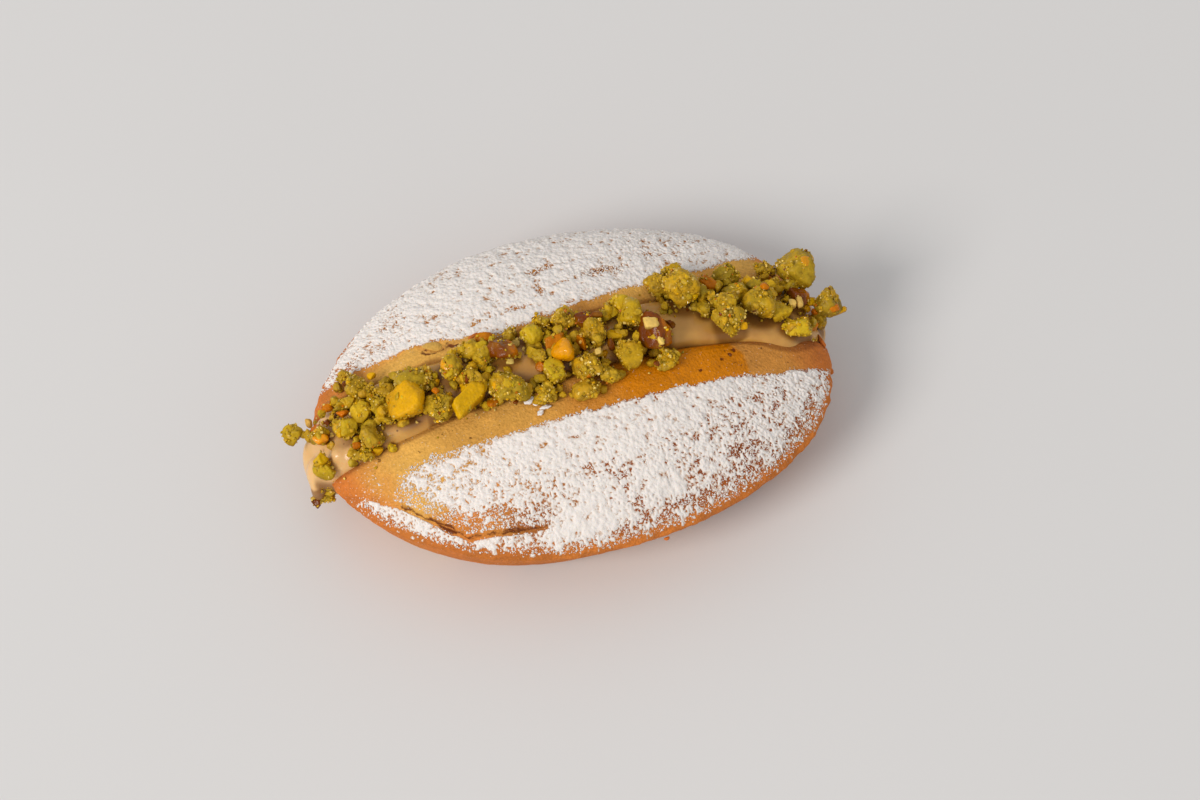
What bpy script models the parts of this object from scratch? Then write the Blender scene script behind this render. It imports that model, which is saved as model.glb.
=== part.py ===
"""A pasticciotto: an oval shortcrust pastry, slit open along its length, filled with nut cream and
topped with a line of broken pistachios.

Blender 4.5, metres, +Z up. X runs along the pastry, its blunter end at +X, -Y is the near side, and the
origin is the middle of the flat base. Three solids: pastry, cream and pistachios.
"""

import math
import random

import bmesh
import bpy
from mathutils import Euler, Matrix, Vector

MM = 0.001

# ---- driving sizes, in metres ----

LENGTH = 0.112
WIDTH = 0.0764
RIM_HEIGHT = 0.017
DOME_RISE = 0.0168
BASE_INSET = 0.0085
WALL_EVEN_SHARE = 0.62
GAP = 0.0003
NUT_GAP = 0.0005

# The plan outline is |x/a|^n + |y/b|^n = 1, and n grows from the pointed end at -X to the blunt end at +X.
OUTLINE_POWER = 2.015
OUTLINE_POWER_CHANGE = 0.163
DOME_POWER = 1.945
DOME_FULLNESS = 1.576
# The slight unevenness of the crust, as waves: height, turns along x and along y in radians a metre, phase.
SWELL_WAVES = ((0.00022, 95.0, 60.0, 1.3), (0.00012, 210.0, -160.0, 2.0))

# The slit runs a little askew and opens wider where it leaves the two ends.
SLIT_OFFSET = 0.001
SLIT_SLOPE = 0.042
SLIT_HALF_WIDTH = 0.0052
SLIT_END_OPENING = {-1: 0.0015, 1: 0.0008}
SLIT_FLOOR = 0.009
SLIT_FLOOR_ROUND = 0.003
LIP_ROUND = 0.0022
LIP_STEP = math.radians(22)
FLARE_WIDTH = 0.0048
FLARE_RISE = 0.0015
CUT_TOP = 0.05

# A crack along the near rim, where the top has lifted off the edge, as points in plan.
CRACK_ROUTE = ((-0.0475, -0.0150), (-0.0410, -0.0195), (-0.0350, -0.0247), (-0.0288, -0.0298),
               (-0.0243, -0.0305), (-0.0187, -0.0315), (-0.0107, -0.0328))
CRACK_RADIUS = 0.0009
CRACK_LIFT = 0.0007
CRACK_DROP = 0.0009
CRACK_REACH = 0.0050

# The cream stands a little proud of the slit, and its edges run over the lips in soft lobes.
CREAM_START = -0.0580
CREAM_END = 0.0573
CREAM_CROWN = 0.0013
CREAM_OVERLAP = 0.0013
CREAM_SQUARENESS = 5.0
CREAM_END_POWER = 14.0
CREAM_END_FULLNESS = 0.45
CREAM_HEART_FLOOR = 0.008
CREAM_HEART_SHARE = 0.55
# Each lobe: side (-1 near, 1 far), place along x, reach past the lip, half length.
CREAM_LOBES = ((-1, -0.038, 0.0010, 0.012), (-1, 0.046, 0.0026, 0.006), (-1, 0.026, -0.0010, 0.012),
               (1, -0.040, 0.0008, 0.008), (1, 0.010, 0.0008, 0.010), (1, 0.048, 0.0012, 0.007))
# The cream sags out of the slit at the pointed end: centre and radii.
CREAM_SAG_CENTRE = (-0.0543, -0.0040, 0.0118)
CREAM_SAG_RADII = (0.0033, 0.0037, 0.0068)

# Under the nuts a low ridge follows the crown of the cream, and the nuts are fused to it.
RIDGE_HALF_WIDTH = 0.0044
RIDGE_HALF_HEIGHT = 0.0021
RIDGE_SHIFT = 0.0022
RIDGE_SHIFT_START = 0.008
RIDGE_SHIFT_LENGTH = 0.022
RIDGE_END_POWER = 10.0

# The larger nuts, in millimetres: place x, y, z, length along x, thickness across.
NUTS = (
    (-58.6, 3.1, 20.4, 4.2, 3.8), (-53.2, -0.1, 23.6, 4.6, 4.0), (-48.0, -2.2, 27.5, 5.3, 5.3),
    (-43.5, -6.8, 29.3, 5.5, 5.9), (-53.6, -6.0, 23.3, 4.6, 5.1), (-46.4, -8.5, 26.6, 5.5, 3.8),
    (-44.1, 5.8, 28.7, 5.7, 5.3), (-44.0, -0.6, 29.6, 4.8, 4.4), (-40.5, 0.6, 30.1, 4.2, 4.0),
    (-45.0, 9.8, 26.3, 4.2, 3.4), (-34.6, -2.4, 34.0, 8.0, 8.4), (-30.1, 2.3, 33.1, 4.0, 5.5),
    (-28.8, -5.6, 33.7, 5.1, 6.7), (-23.5, -7.3, 34.6, 6.3, 8.0), (-25.0, 1.4, 34.9, 5.3, 5.9),
    (-20.4, 5.1, 34.7, 5.1, 4.0), (-18.1, 1.9, 35.8, 3.8, 5.5), (-20.6, -2.2, 35.2, 4.8, 4.8),
    (-16.3, 7.3, 34.5, 4.2, 3.4), (-13.6, 2.0, 37.4, 5.7, 5.9), (-14.7, -6.3, 36.3, 9.7, 6.7),
    (-7.3, 4.3, 36.3, 5.1, 4.2), (-4.4, 6.5, 35.9, 4.0, 3.6), (-0.2, 6.3, 36.8, 5.5, 5.1),
    (-3.2, 1.2, 37.1, 5.5, 3.6), (-1.9, -1.9, 37.4, 4.4, 5.9), (-4.8, -5.8, 36.5, 5.1, 6.3),
    (-7.2, -9.3, 34.8, 5.5, 4.2), (4.1, 5.0, 36.2, 4.0, 3.6), (5.9, 1.4, 37.0, 4.4, 5.5),
    (2.5, -5.8, 36.4, 6.5, 5.9), (6.4, -8.6, 34.8, 3.4, 4.0), (1.0, -10.4, 35.0, 5.5, 4.6),
    (12.2, 7.4, 35.4, 5.3, 4.0), (14.0, 3.0, 37.0, 5.9, 7.0), (11.0, -4.8, 36.6, 5.9, 7.4),
    (17.7, -1.9, 37.2, 6.5, 8.6), (18.2, -7.0, 33.8, 5.1, 4.2), (25.8, 14.0, 32.2, 4.6, 3.6),
    (21.6, 10.8, 33.1, 4.4, 5.5), (25.5, 6.9, 36.0, 7.4, 8.2), (32.1, 9.4, 31.9, 3.8, 4.0),
    (37.2, 11.7, 29.8, 5.5, 4.4), (34.0, 2.9, 34.0, 6.3, 5.8), (34.0, -1.4, 33.7, 6.7, 6.9),
    (46.1, 13.4, 26.0, 3.8, 3.6), (41.6, 1.9, 31.5, 7.6, 6.9), (45.8, 0.8, 28.5, 5.1, 3.8),
    (48.3, -2.3, 25.9, 7.2, 4.4), (51.1, 4.4, 26.0, 4.8, 5.1), (52.3, 10.8, 26.6, 8.2, 8.2),
    (57.6, 4.0, 22.4, 6.2, 6.2),
)
NUT_FLATNESS = 0.92
NUT_DENT = 0.14
NUT_BUMP = 0.08
NUT_LEAN = 0.35
FINE_NUT_SIZE = 5.6
LINK_SIZE = 0.0034
LINK_SPACING = 0.0030
LINK_REACH = 0.0505
SMALL_NUT_COUNT = 20
SMALL_NUT_SIZE = (0.0022, 0.0036)
SMALL_NUT_SPREAD = 0.0038
SMALL_NUT_REACH = 0.053
NUT_SEED = 11

# ---- how finely the faceted solids are made ----

PASTRY_COLUMNS = 60
PASTRY_ROWS = 24
WALL_SHARE = 0.8
SLIT_STATIONS = 24
CREAM_STATIONS = 32
CREAM_SIDES = 18
RIDGE_STATIONS = 20
RIDGE_SIDES = 8
MERGE_DISTANCE = 0.0000001


# ---- the form of the pastry, worked out at a point ----

def rim_point(angle):
    """Return the rim's x and y at an eccentric angle, from the outline's changing power."""
    cosine, sine = math.cos(angle), math.sin(angle)
    power = OUTLINE_POWER + OUTLINE_POWER_CHANGE * cosine
    scale = (abs(cosine) ** power + abs(sine) ** power) ** (-1.0 / power)
    return LENGTH / 2 * cosine * scale, WIDTH / 2 * sine * scale


def rim_share(x, y):
    """Return how far out a point in plan lies: 0 at the middle and 1 at the rim."""
    across, up = x / (LENGTH / 2), y / (WIDTH / 2)
    radius = math.hypot(across, up)
    if radius < 1e-9:
        return 0.0
    power = OUTLINE_POWER + OUTLINE_POWER_CHANGE * across / radius
    return (abs(across) ** power + abs(up) ** power) ** (1.0 / power)


def dome_height(x, y):
    """Return the height of the unslit top, which falls to the rim's height at and past the rim."""
    share = min(rim_share(x, y), 1.0)
    return RIM_HEIGHT + DOME_RISE * (1.0 - share ** DOME_POWER) ** (1.0 / DOME_FULLNESS)


def slit_centre(x):
    """Return the y of the slit's middle line."""
    return SLIT_OFFSET + SLIT_SLOPE * x


def slit_half_width(x):
    """Return half the slit's width, which grows with the square of the distance from the middle."""
    opening = SLIT_END_OPENING[-1 if x < 0 else 1]
    return SLIT_HALF_WIDTH + opening * (x / (LENGTH / 2)) ** 2


def crust_swell(x, y):
    """Return the slight unevenness of a baked crust, as a few long crossed waves."""
    return sum(height * math.sin(along * x + across * y + phase)
               for height, along, across, phase in SWELL_WAVES)


def crack_step(x, y):
    """Return the lift inside the crack, or the drop outside it, fading with distance from its route."""
    nearest = None
    for (ax, ay), (bx, by) in zip(CRACK_ROUTE, CRACK_ROUTE[1:]):
        along = ((x - ax) * (bx - ax) + (y - ay) * (by - ay)) / ((bx - ax) ** 2 + (by - ay) ** 2)
        along = min(max(along, 0.0), 1.0)
        distance = math.hypot(x - ax - along * (bx - ax), y - ay - along * (by - ay))
        outward = (x - ax) * (by - ay) - (y - ay) * (bx - ax) > 0
        if nearest is None or distance < nearest[0]:
            nearest = (distance, outward)
    distance, outward = nearest
    fade = math.exp(-(distance / CRACK_REACH) ** 2)
    return -CRACK_DROP * fade if outward else CRACK_LIFT * fade


# ---- collections, materials and small tools ----

def clear_scene():
    """Remove every object that the file starts with."""
    for obj in list(bpy.data.objects):
        bpy.data.objects.remove(obj, do_unlink=True)


def make_collection(name):
    """Return a new collection linked to the scene."""
    collection = bpy.data.collections.new(name)
    bpy.context.scene.collection.children.link(collection)
    return collection


def make_material(name, colour, roughness):
    """Return a Principled material of one colour and roughness."""
    material = bpy.data.materials.new(name)
    material.use_nodes = True
    shader = material.node_tree.nodes["Principled BSDF"]
    shader.inputs["Base Color"].default_value = (*colour, 1.0)
    shader.inputs["Roughness"].default_value = roughness
    shader.inputs["Metallic"].default_value = 0.0
    material.diffuse_color = (*colour, 1.0)
    return material


def mesh_object(name, bm, collection, material=None):
    """Turn a bmesh into an object in a collection, all triangles with their faces pointing out."""
    bmesh.ops.recalc_face_normals(bm, faces=bm.faces)
    bmesh.ops.triangulate(bm, faces=bm.faces)
    mesh = bpy.data.meshes.new(name)
    bm.to_mesh(mesh)
    bm.free()
    obj = bpy.data.objects.new(name, mesh)
    collection.objects.link(obj)
    if material:
        mesh.materials.append(material)
    return obj


def make_cutter(obj):
    """Mark an object as a cutter, drawn as wire and never rendered."""
    obj.hide_render = True
    obj.display_type = "WIRE"
    return obj


def add_boolean(obj, operation, other):
    """Add a live Boolean by one object or by all of a collection."""
    modifier = obj.modifiers.new(operation.title(), "BOOLEAN")
    modifier.operation = operation
    modifier.solver = "EXACT"
    if isinstance(other, bpy.types.Collection):
        modifier.operand_type = "COLLECTION"
        modifier.collection = other
    else:
        modifier.object = other


def apply_modifiers(obj):
    """Replace an object's mesh by what its modifiers make of it."""
    graph = bpy.context.evaluated_depsgraph_get()
    mesh = bpy.data.meshes.new_from_object(obj.evaluated_get(graph))
    old_mesh = obj.data
    obj.modifiers.clear()
    obj.data = mesh
    bpy.data.meshes.remove(old_mesh)


def keep_largest_body(obj):
    """Merge points that coincide, then drop every body but the one with the most points."""
    bm = bmesh.new()
    bm.from_mesh(obj.data)
    bmesh.ops.remove_doubles(bm, verts=bm.verts, dist=MERGE_DISTANCE)
    bmesh.ops.dissolve_degenerate(bm, edges=bm.edges, dist=MERGE_DISTANCE)
    unseen = set(bm.verts)
    bodies = []
    while unseen:
        body = []
        waiting = [unseen.pop()]
        while waiting:
            vertex = waiting.pop()
            body.append(vertex)
            for edge in vertex.link_edges:
                other = edge.other_vert(vertex)
                if other in unseen:
                    unseen.remove(other)
                    waiting.append(other)
        bodies.append(body)
    bodies.sort(key=len)
    loose = [vertex for body in bodies[:-1] for vertex in body]
    bmesh.ops.delete(bm, geom=loose, context="VERTS")
    bmesh.ops.triangulate(bm, faces=bm.faces)
    bm.to_mesh(obj.data)
    bm.free()


def loft(rings):
    """Return a bmesh that joins equal rings of points in order and closes both ends."""
    bm = bmesh.new()
    rows = [[bm.verts.new(point) for point in ring] for ring in rings]
    count = len(rows[0])
    for row, next_row in zip(rows, rows[1:]):
        for i in range(count):
            j = (i + 1) % count
            bm.faces.new((row[i], row[j], next_row[j], next_row[i]))
    bm.faces.new(rows[0])
    bm.faces.new(reversed(rows[-1]))
    return bm


def spread(count):
    """Return values from -1 to 1 that lie closer together towards the two ends."""
    return [math.sin(math.pi / 2 * (2 * i / (count - 1) - 1)) for i in range(count)]


# ---- pastry ----

def wall_point(angle, drop, grow):
    """Return a point on the side wall: drop is 0 at the rim and 1 at the base's edge."""
    x, y = rim_point(angle)
    inset = BASE_INSET * (WALL_EVEN_SHARE * drop + (1.0 - WALL_EVEN_SHARE) * drop ** 5) - grow
    radius = math.hypot(x, y)
    scale = (radius - inset) / radius
    return x * scale, y * scale, RIM_HEIGHT * (1.0 - drop) - grow * drop


def pastry_body(name, collection, material=None, grow=0.0):
    """Make the unslit pastry from a sphere whose upper half becomes the dome and lower half the wall."""
    bm = bmesh.new()
    bmesh.ops.create_uvsphere(bm, u_segments=PASTRY_COLUMNS, v_segments=PASTRY_ROWS, radius=1.0)
    for vertex in bm.verts:
        angle = math.atan2(vertex.co.y, vertex.co.x)
        latitude = math.asin(max(-1.0, min(1.0, vertex.co.z)))
        if latitude > -1e-4:
            x, y = rim_point(angle)
            outward = 1.0 + grow / math.hypot(x, y)
            share = math.cos(latitude)
            x, y = x * share, y * share
            height = dome_height(x, y) + (crust_swell(x, y) + crack_step(x, y)) * (1.0 - share ** 12)
            vertex.co = (x * outward, y * outward, height + grow)
        else:
            drop = -latitude / (math.pi / 2)
            if drop < WALL_SHARE:
                vertex.co = wall_point(angle, drop / WALL_SHARE, grow)
            else:
                x, y, z = wall_point(angle, 1.0, grow)
                share = (1.0 - drop) / (1.0 - WALL_SHARE)
                vertex.co = (x * share, y * share, z)
    return mesh_object(name, bm, collection, material)


def slit_section(x, gap):
    """Return one ring of the slit's cutter: a trough with rounded floor corners and flared lips."""
    centre = slit_centre(x)
    half = slit_half_width(x) - gap
    floor = SLIT_FLOOR + gap
    sides = {}
    for side in (-1, 1):
        lip = dome_height(x, centre + side * (half + LIP_ROUND)) + gap
        profile = []
        for step in range(3):
            turn = math.pi / 4 * step
            profile.append((half - SLIT_FLOOR_ROUND * (1 - math.sin(turn)),
                            floor + SLIT_FLOOR_ROUND * (1 - math.cos(turn))))
        for step in range(4):
            turn = LIP_STEP * step
            profile.append((half + LIP_ROUND * (1 - math.cos(turn)),
                            lip - LIP_ROUND * (1 - math.sin(turn))))
        profile.append((half + FLARE_WIDTH, lip + FLARE_RISE))
        profile.append((half + FLARE_WIDTH, CUT_TOP))
        sides[side] = [(x, centre + side * across, z) for across, z in profile]
    return sides[-1][::-1] + sides[1]


def slit_cutter(name, collection, gap=0.0):
    """Make the trough that opens the pastry from end to end."""
    reach = LENGTH / 2 + 0.008
    rings = [slit_section(reach * share, gap) for share in spread(SLIT_STATIONS)]
    return make_cutter(mesh_object(name, loft(rings), collection))


def crack_cutter(collection):
    """Make a thin tube along the crack, sunk under the lifted edge, as a closed mesh."""
    curve = bpy.data.curves.new("crack_curve", "CURVE")
    curve.dimensions = "3D"
    curve.bevel_depth = CRACK_RADIUS
    curve.bevel_resolution = 1
    curve.use_fill_caps = True
    spline = curve.splines.new("POLY")
    spline.points.add(len(CRACK_ROUTE) - 1)
    for point, (x, y) in zip(spline.points, CRACK_ROUTE):
        point.co = (x, y, dome_height(x, y) - 0.2 * CRACK_RADIUS, 1.0)
        ends = (CRACK_ROUTE[0], CRACK_ROUTE[-1])
        point.radius = 0.6 if (x, y) in ends else 1.0
    curve_object = bpy.data.objects.new("crack_curve", curve)
    collection.objects.link(curve_object)
    graph = bpy.context.evaluated_depsgraph_get()
    mesh = bpy.data.meshes.new_from_object(curve_object.evaluated_get(graph))
    bm = bmesh.new()
    bm.from_mesh(mesh)
    bmesh.ops.remove_doubles(bm, verts=bm.verts, dist=0.00001)
    bpy.data.meshes.remove(mesh)
    bpy.data.objects.remove(curve_object, do_unlink=True)
    return make_cutter(mesh_object("crack_cutter", bm, collection))


def build_pastry(parts, cutters, material):
    """Make the pastry, slit from end to end, with the crack along its near rim."""
    pastry = pastry_body("pastry", parts, material)
    add_boolean(pastry, "DIFFERENCE", slit_cutter("slit_cutter", cutters))
    add_boolean(pastry, "DIFFERENCE", crack_cutter(cutters))
    apply_modifiers(pastry)
    keep_largest_body(pastry)
    return pastry


def grown_pastry(cutters):
    """Make the pastry one gap larger all over, to cut what lies in and on it."""
    grown = make_cutter(pastry_body("grown_pastry", cutters, grow=GAP))
    add_boolean(grown, "DIFFERENCE", slit_cutter("grown_slit_cutter", cutters, gap=GAP))
    return grown


# ---- cream ----

def cream_station(share, grow=0.0):
    """Return x, the end rounding, the heart's height and the crown's at a share of the cream's length."""
    middle = (CREAM_START + CREAM_END) / 2
    half_length = (CREAM_END - CREAM_START) / 2 + grow
    x = middle + half_length * share
    rounding = (1.0 - abs(share) ** CREAM_END_POWER) ** CREAM_END_FULLNESS
    crown = dome_height(x, slit_centre(x)) + CREAM_CROWN + grow
    heart = CREAM_HEART_FLOOR + CREAM_HEART_SHARE * (crown - CREAM_HEART_FLOOR)
    return x, rounding, heart, crown


def cream_half_width(x, side):
    """Return how far the cream reaches to one side: past the lip, and further in its lobes."""
    reach = slit_half_width(x) + CREAM_OVERLAP
    for lobe_side, place, extra, length in CREAM_LOBES:
        if lobe_side == side:
            reach += extra * math.exp(-((x - place) / length) ** 2)
    return reach


def cream_blob(name, collection, grow=0.0):
    """Loft the cream through rounded-square sections that close to a soft nose at both ends."""
    rings = []
    for share in spread(CREAM_STATIONS):
        x, rounding, heart, crown = cream_station(share * 0.9995, grow)
        ring = []
        for step in range(CREAM_SIDES):
            turn = 2 * math.pi * (step + 0.5) / CREAM_SIDES
            cosine, sine = math.cos(turn), math.sin(turn)
            power = 2.0 / CREAM_SQUARENESS
            across = math.copysign(abs(cosine) ** power, cosine)
            up = math.copysign(abs(sine) ** power, sine)
            half_width = cream_half_width(x, -1 if across < 0 else 1) + grow
            ring.append((x, slit_centre(x) + half_width * across * rounding,
                         heart + (crown - heart) * up * rounding))
        rings.append(ring)
    return mesh_object(name, loft(rings), collection)


def cream_sag(name, collection, grow=0.0):
    """Make the drop of cream that sags out of the pointed end."""
    bm = bmesh.new()
    radii = [radius + grow for radius in CREAM_SAG_RADII]
    place = Matrix.Translation(CREAM_SAG_CENTRE) @ Matrix.Diagonal((*radii, 1.0))
    bmesh.ops.create_icosphere(bm, subdivisions=3, radius=1.0, matrix=place)
    return make_cutter(mesh_object(name, bm, collection))


def build_cream(parts, cutters, grown, material):
    """Make the cream and cut it to the slit and the lips, one gap clear of the pastry."""
    cream = cream_blob("cream", parts)
    cream.data.materials.append(material)
    add_boolean(cream, "UNION", cream_sag("cream_sag", cutters))
    add_boolean(cream, "DIFFERENCE", grown)
    apply_modifiers(cream)
    keep_largest_body(cream)
    return cream


def grown_cream(cutters):
    """Make the cream one gap larger all over, to cut the nuts that lie on it."""
    grown = make_cutter(cream_blob("grown_cream", cutters, grow=NUT_GAP))
    add_boolean(grown, "UNION", cream_sag("grown_cream_sag", cutters, grow=NUT_GAP))
    return grown


# ---- pistachios ----

def ridge_centre(x):
    """Return the y of the nuts' middle line, which moves to the far side towards the blunt end."""
    blend = min(max((x - RIDGE_SHIFT_START) / RIDGE_SHIFT_LENGTH, 0.0), 1.0)
    return slit_centre(x) + RIDGE_SHIFT * blend * blend * (3 - 2 * blend)


def nut_ridge(name, collection):
    """Loft the low ridge under the nuts along the crown of the cream."""
    rings = []
    for share in spread(RIDGE_STATIONS):
        x, rounding, heart, crown = cream_station(share * 0.996)
        height = heart + (crown - heart) * rounding
        taper = max(1.0 - abs(share) ** RIDGE_END_POWER, 0.02)
        ring = []
        for step in range(RIDGE_SIDES):
            turn = 2 * math.pi * step / RIDGE_SIDES
            ring.append((x, ridge_centre(x) + RIDGE_HALF_WIDTH * taper * math.cos(turn),
                         height + RIDGE_HALF_HEIGHT * taper * math.sin(turn)))
        rings.append(ring)
    return mesh_object(name, loft(rings), collection)


def nut_lump(name, collection, centre, size, draw, subdivisions=2):
    """Make one broken nut: a ball of few faces, stretched, roughened and turned at random."""
    bm = bmesh.new()
    bmesh.ops.create_icosphere(bm, subdivisions=subdivisions, radius=1.0)
    for vertex in bm.verts:
        vertex.co *= 1.0 + draw.uniform(-NUT_DENT, NUT_BUMP)
    spin = Euler([draw.uniform(-math.pi, math.pi) for _ in range(3)]).to_matrix().to_4x4()
    lean = Matrix.Rotation(draw.uniform(-NUT_LEAN, NUT_LEAN), 4, "Z")
    half = Vector(size) / 2
    bm.transform(Matrix.Translation(centre) @ lean @ Matrix.Diagonal((*half, 1.0)) @ spin)
    return mesh_object(name, bm, collection)


def small_nuts(draw):
    """Yield the places and sizes of the small bits that fill between the larger nuts."""
    for _ in range(SMALL_NUT_COUNT):
        x = draw.uniform(-SMALL_NUT_REACH, SMALL_NUT_REACH)
        across = draw.gauss(0.0, SMALL_NUT_SPREAD)
        size = draw.uniform(*SMALL_NUT_SIZE)
        y = ridge_centre(x) + across
        height = dome_height(x, y) + CREAM_CROWN * (abs(across) < 0.006)
        yield Vector((x, y, height + 0.3 * size)), (size, size, size * NUT_FLATNESS)


def link_places(nut):
    """Yield the places of the bits that lead from the ridge to a nut beside it or past its end."""
    x = min(max(0.95 * nut.x, -LINK_REACH), LINK_REACH)
    ridge = Vector((x, ridge_centre(x), dome_height(x, ridge_centre(x)) + CREAM_CROWN))
    count = int((nut - ridge).length / LINK_SPACING)
    for number in range(1, count + 1):
        yield ridge.lerp(nut, number / (count + 1))


def build_pistachios(parts, cutters, grown, material):
    """Fuse the ridge and all nuts, and cut them one gap clear of the cream and the pastry."""
    draw = random.Random(NUT_SEED)
    pile = make_collection("nut_pile")
    for number, (x, y, z, length, thickness) in enumerate(NUTS):
        centre = Vector((x, y, z)) * MM
        size = (length * MM, thickness * MM, thickness * NUT_FLATNESS * MM)
        faces = 2 if max(length, thickness) > FINE_NUT_SIZE else 1
        nut_lump(f"nut_{number}", pile, centre, size, draw, subdivisions=faces)
        for link in link_places(centre):
            nut_lump(f"link_{number}", pile, link, [LINK_SIZE] * 3, draw, subdivisions=1)
    for number, (centre, size) in enumerate(small_nuts(draw)):
        nut_lump(f"bit_{number}", pile, centre, size, draw, subdivisions=1)
    heap = nut_ridge("pistachios", parts)
    heap.data.materials.append(material)
    add_boolean(heap, "UNION", pile)
    apply_modifiers(heap)
    for nut in list(pile.objects):
        bpy.data.objects.remove(nut, do_unlink=True)
    bpy.data.collections.remove(pile)
    add_boolean(heap, "DIFFERENCE", grown)
    add_boolean(heap, "DIFFERENCE", grown_cream(cutters))
    apply_modifiers(heap)
    keep_largest_body(heap)
    return heap


def main():
    """Make the three solids and shade them."""
    clear_scene()
    parts = make_collection("pasticciotto")
    cutters = make_collection("cutters")
    crust = make_material("baked_crust", (0.62, 0.34, 0.12), 0.65)
    filling = make_material("nut_cream", (0.50, 0.29, 0.13), 0.35)
    nut = make_material("pistachio", (0.36, 0.27, 0.05), 0.60)
    build_pastry(parts, cutters, crust)
    grown = grown_pastry(cutters)
    build_cream(parts, cutters, grown, filling)
    build_pistachios(parts, cutters, grown, nut)
    for obj in parts.objects:
        obj.data.shade_smooth()
        obj.data.set_sharp_from_angle(angle=math.radians(35))


main()
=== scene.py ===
"""The looks of a pasticciotto: baked crust, nut cream, broken pistachios and icing sugar.

Blender 4.5, metres, +Z up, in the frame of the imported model. X runs along the pastry, its blunter end at
+X, -Y is the near side, and the origin is the middle of the flat base. The crust's form follows the same
named values as its solid, the cream and the nuts lie where their solids do, and every shape is worked out
as whole numpy arrays.
"""

import itertools
import math

import bpy
import numpy as np
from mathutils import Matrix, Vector


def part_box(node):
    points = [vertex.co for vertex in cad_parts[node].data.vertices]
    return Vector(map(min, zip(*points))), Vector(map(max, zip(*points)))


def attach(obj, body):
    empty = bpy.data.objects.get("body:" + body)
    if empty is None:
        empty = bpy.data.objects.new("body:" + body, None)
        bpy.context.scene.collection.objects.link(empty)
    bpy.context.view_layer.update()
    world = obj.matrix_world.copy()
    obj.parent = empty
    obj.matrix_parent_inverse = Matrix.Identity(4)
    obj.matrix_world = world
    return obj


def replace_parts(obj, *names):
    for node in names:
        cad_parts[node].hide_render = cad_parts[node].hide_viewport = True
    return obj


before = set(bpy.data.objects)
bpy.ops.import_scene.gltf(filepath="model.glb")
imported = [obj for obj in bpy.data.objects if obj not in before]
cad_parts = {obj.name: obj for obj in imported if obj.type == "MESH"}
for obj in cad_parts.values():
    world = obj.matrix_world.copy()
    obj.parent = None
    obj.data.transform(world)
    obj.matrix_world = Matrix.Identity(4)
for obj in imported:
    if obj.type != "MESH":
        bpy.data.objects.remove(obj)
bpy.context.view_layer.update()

bl_info = {
    "name": "Pasticciotto",
    "version": (1, 0, 0),
    "blender": (4, 5, 0),
    "location": "3D View > Sidebar > Pasticciotto",
    "description": "Makes a slit pastry filled with nut cream and topped with pistachios and icing sugar",
    "category": "Add Mesh",
}

MM = 0.001

# ---- the pastry's sizes, in metres ----

PASTRY_LOW, PASTRY_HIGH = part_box("pastry")
HALF_LENGTH = (PASTRY_HIGH.x - PASTRY_LOW.x) / 2
HALF_WIDTH = (PASTRY_HIGH.y - PASTRY_LOW.y) / 2
RIM_HEIGHT = 0.017
DOME_RISE = 0.0168
BASE_INSET = 0.0085
# The share of the wall's inset that grows evenly with the drop, and the power by which the rest grows.
WALL_EVEN_SHARE = 0.62
WALL_POWER = 5
WALL_ROWS = 26
# The rings of points on the flat base, as shares of its outline.
BASE_RINGS = (0.97, 0.7, 0.35)

# The plan outline is |x/a|^n + |y/b|^n = 1, and n grows from the pointed end at -X to the blunt end at +X.
OUTLINE_POWER = 2.015
OUTLINE_POWER_CHANGE = 0.163
DOME_POWER = 1.945
DOME_FULLNESS = 1.576
# The rim swells out at the near right, and the near wall is tucked in: angle, half width and amount.
RIM_SWELL = (math.radians(-27), math.radians(22), 0.0009)
WALL_TUCK = (math.radians(-78), math.radians(28), 0.0018)
# Share of the wall's height over which the tuck grows, and power with which the rim's swelling grows.
TUCK_GROWS_OVER = 0.6
RIM_SWELL_POWER = 8
# The slight unevenness of the crust, as waves: height, turns along x and along y in radians a metre, phase.
SWELL_WAVES = ((0.00022, 95.0, 60.0, 1.3), (0.00012, 210.0, -160.0, 2.0))
# The powers of how far out a place lies by which the waves and the crack's step run out at the rim.
WAVES_RUN_OUT = 12
CRACK_RUNS_OUT = 40
# The baked surface's finer relief: share of its height and cell size of each layer of noise, and the height
# over which it starts above the base.
RELIEF_LAYERS = ((1.0, 0.0050), (0.5, 0.0017), (0.34, 0.0008))
RELIEF_START = 0.003
# The rim is crumbly: share and cell size of its lumps, and how far above and below the rim they reach.
CRUMBLE_LAYERS = ((1.0, 0.0021), (0.6, 0.0021 / 2.3))
CRUMBLE_REACH = 0.0022
# Edges of the crust that turn more sharply than this stay sharp.
SHARP_TURN = math.radians(42)

SLIT_OFFSET = 0.001
SLIT_SLOPE = 0.042
SLIT_HALF_WIDTH = 0.0052
SLIT_OPENING_LEFT = 0.0015
SLIT_OPENING_RIGHT = 0.0008
SLIT_FLOOR = 0.009
SLIT_FLOOR_ROUND = 0.003
LIP_ROUND = 0.0022
LIP_TURN = math.radians(84)
FLARE_WIDTH = 0.0048
FLARE_RISE = 0.0015
CUT_TOP = 0.05
CUT_REACH = 0.064
CUT_STATIONS = 220
FLOOR_STEPS = 5
LIP_STEPS = 10

# A crack along the near rim, where the top has lifted off the edge, as points in plan.
CRACK_ROUTE = ((-0.0475, -0.0150), (-0.0410, -0.0195), (-0.0350, -0.0247), (-0.0288, -0.0298),
               (-0.0243, -0.0305), (-0.0187, -0.0315), (-0.0107, -0.0328))
CRACK_LIFT = 0.0005
CRACK_DROP = 0.0006
CRACK_REACH = 0.0046
CRACK_EDGE = 0.00016
# Shares of its length where the lift has grown and where it starts to run out.
CRACK_GROWN = 0.15
CRACK_FALLS = 0.80
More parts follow.
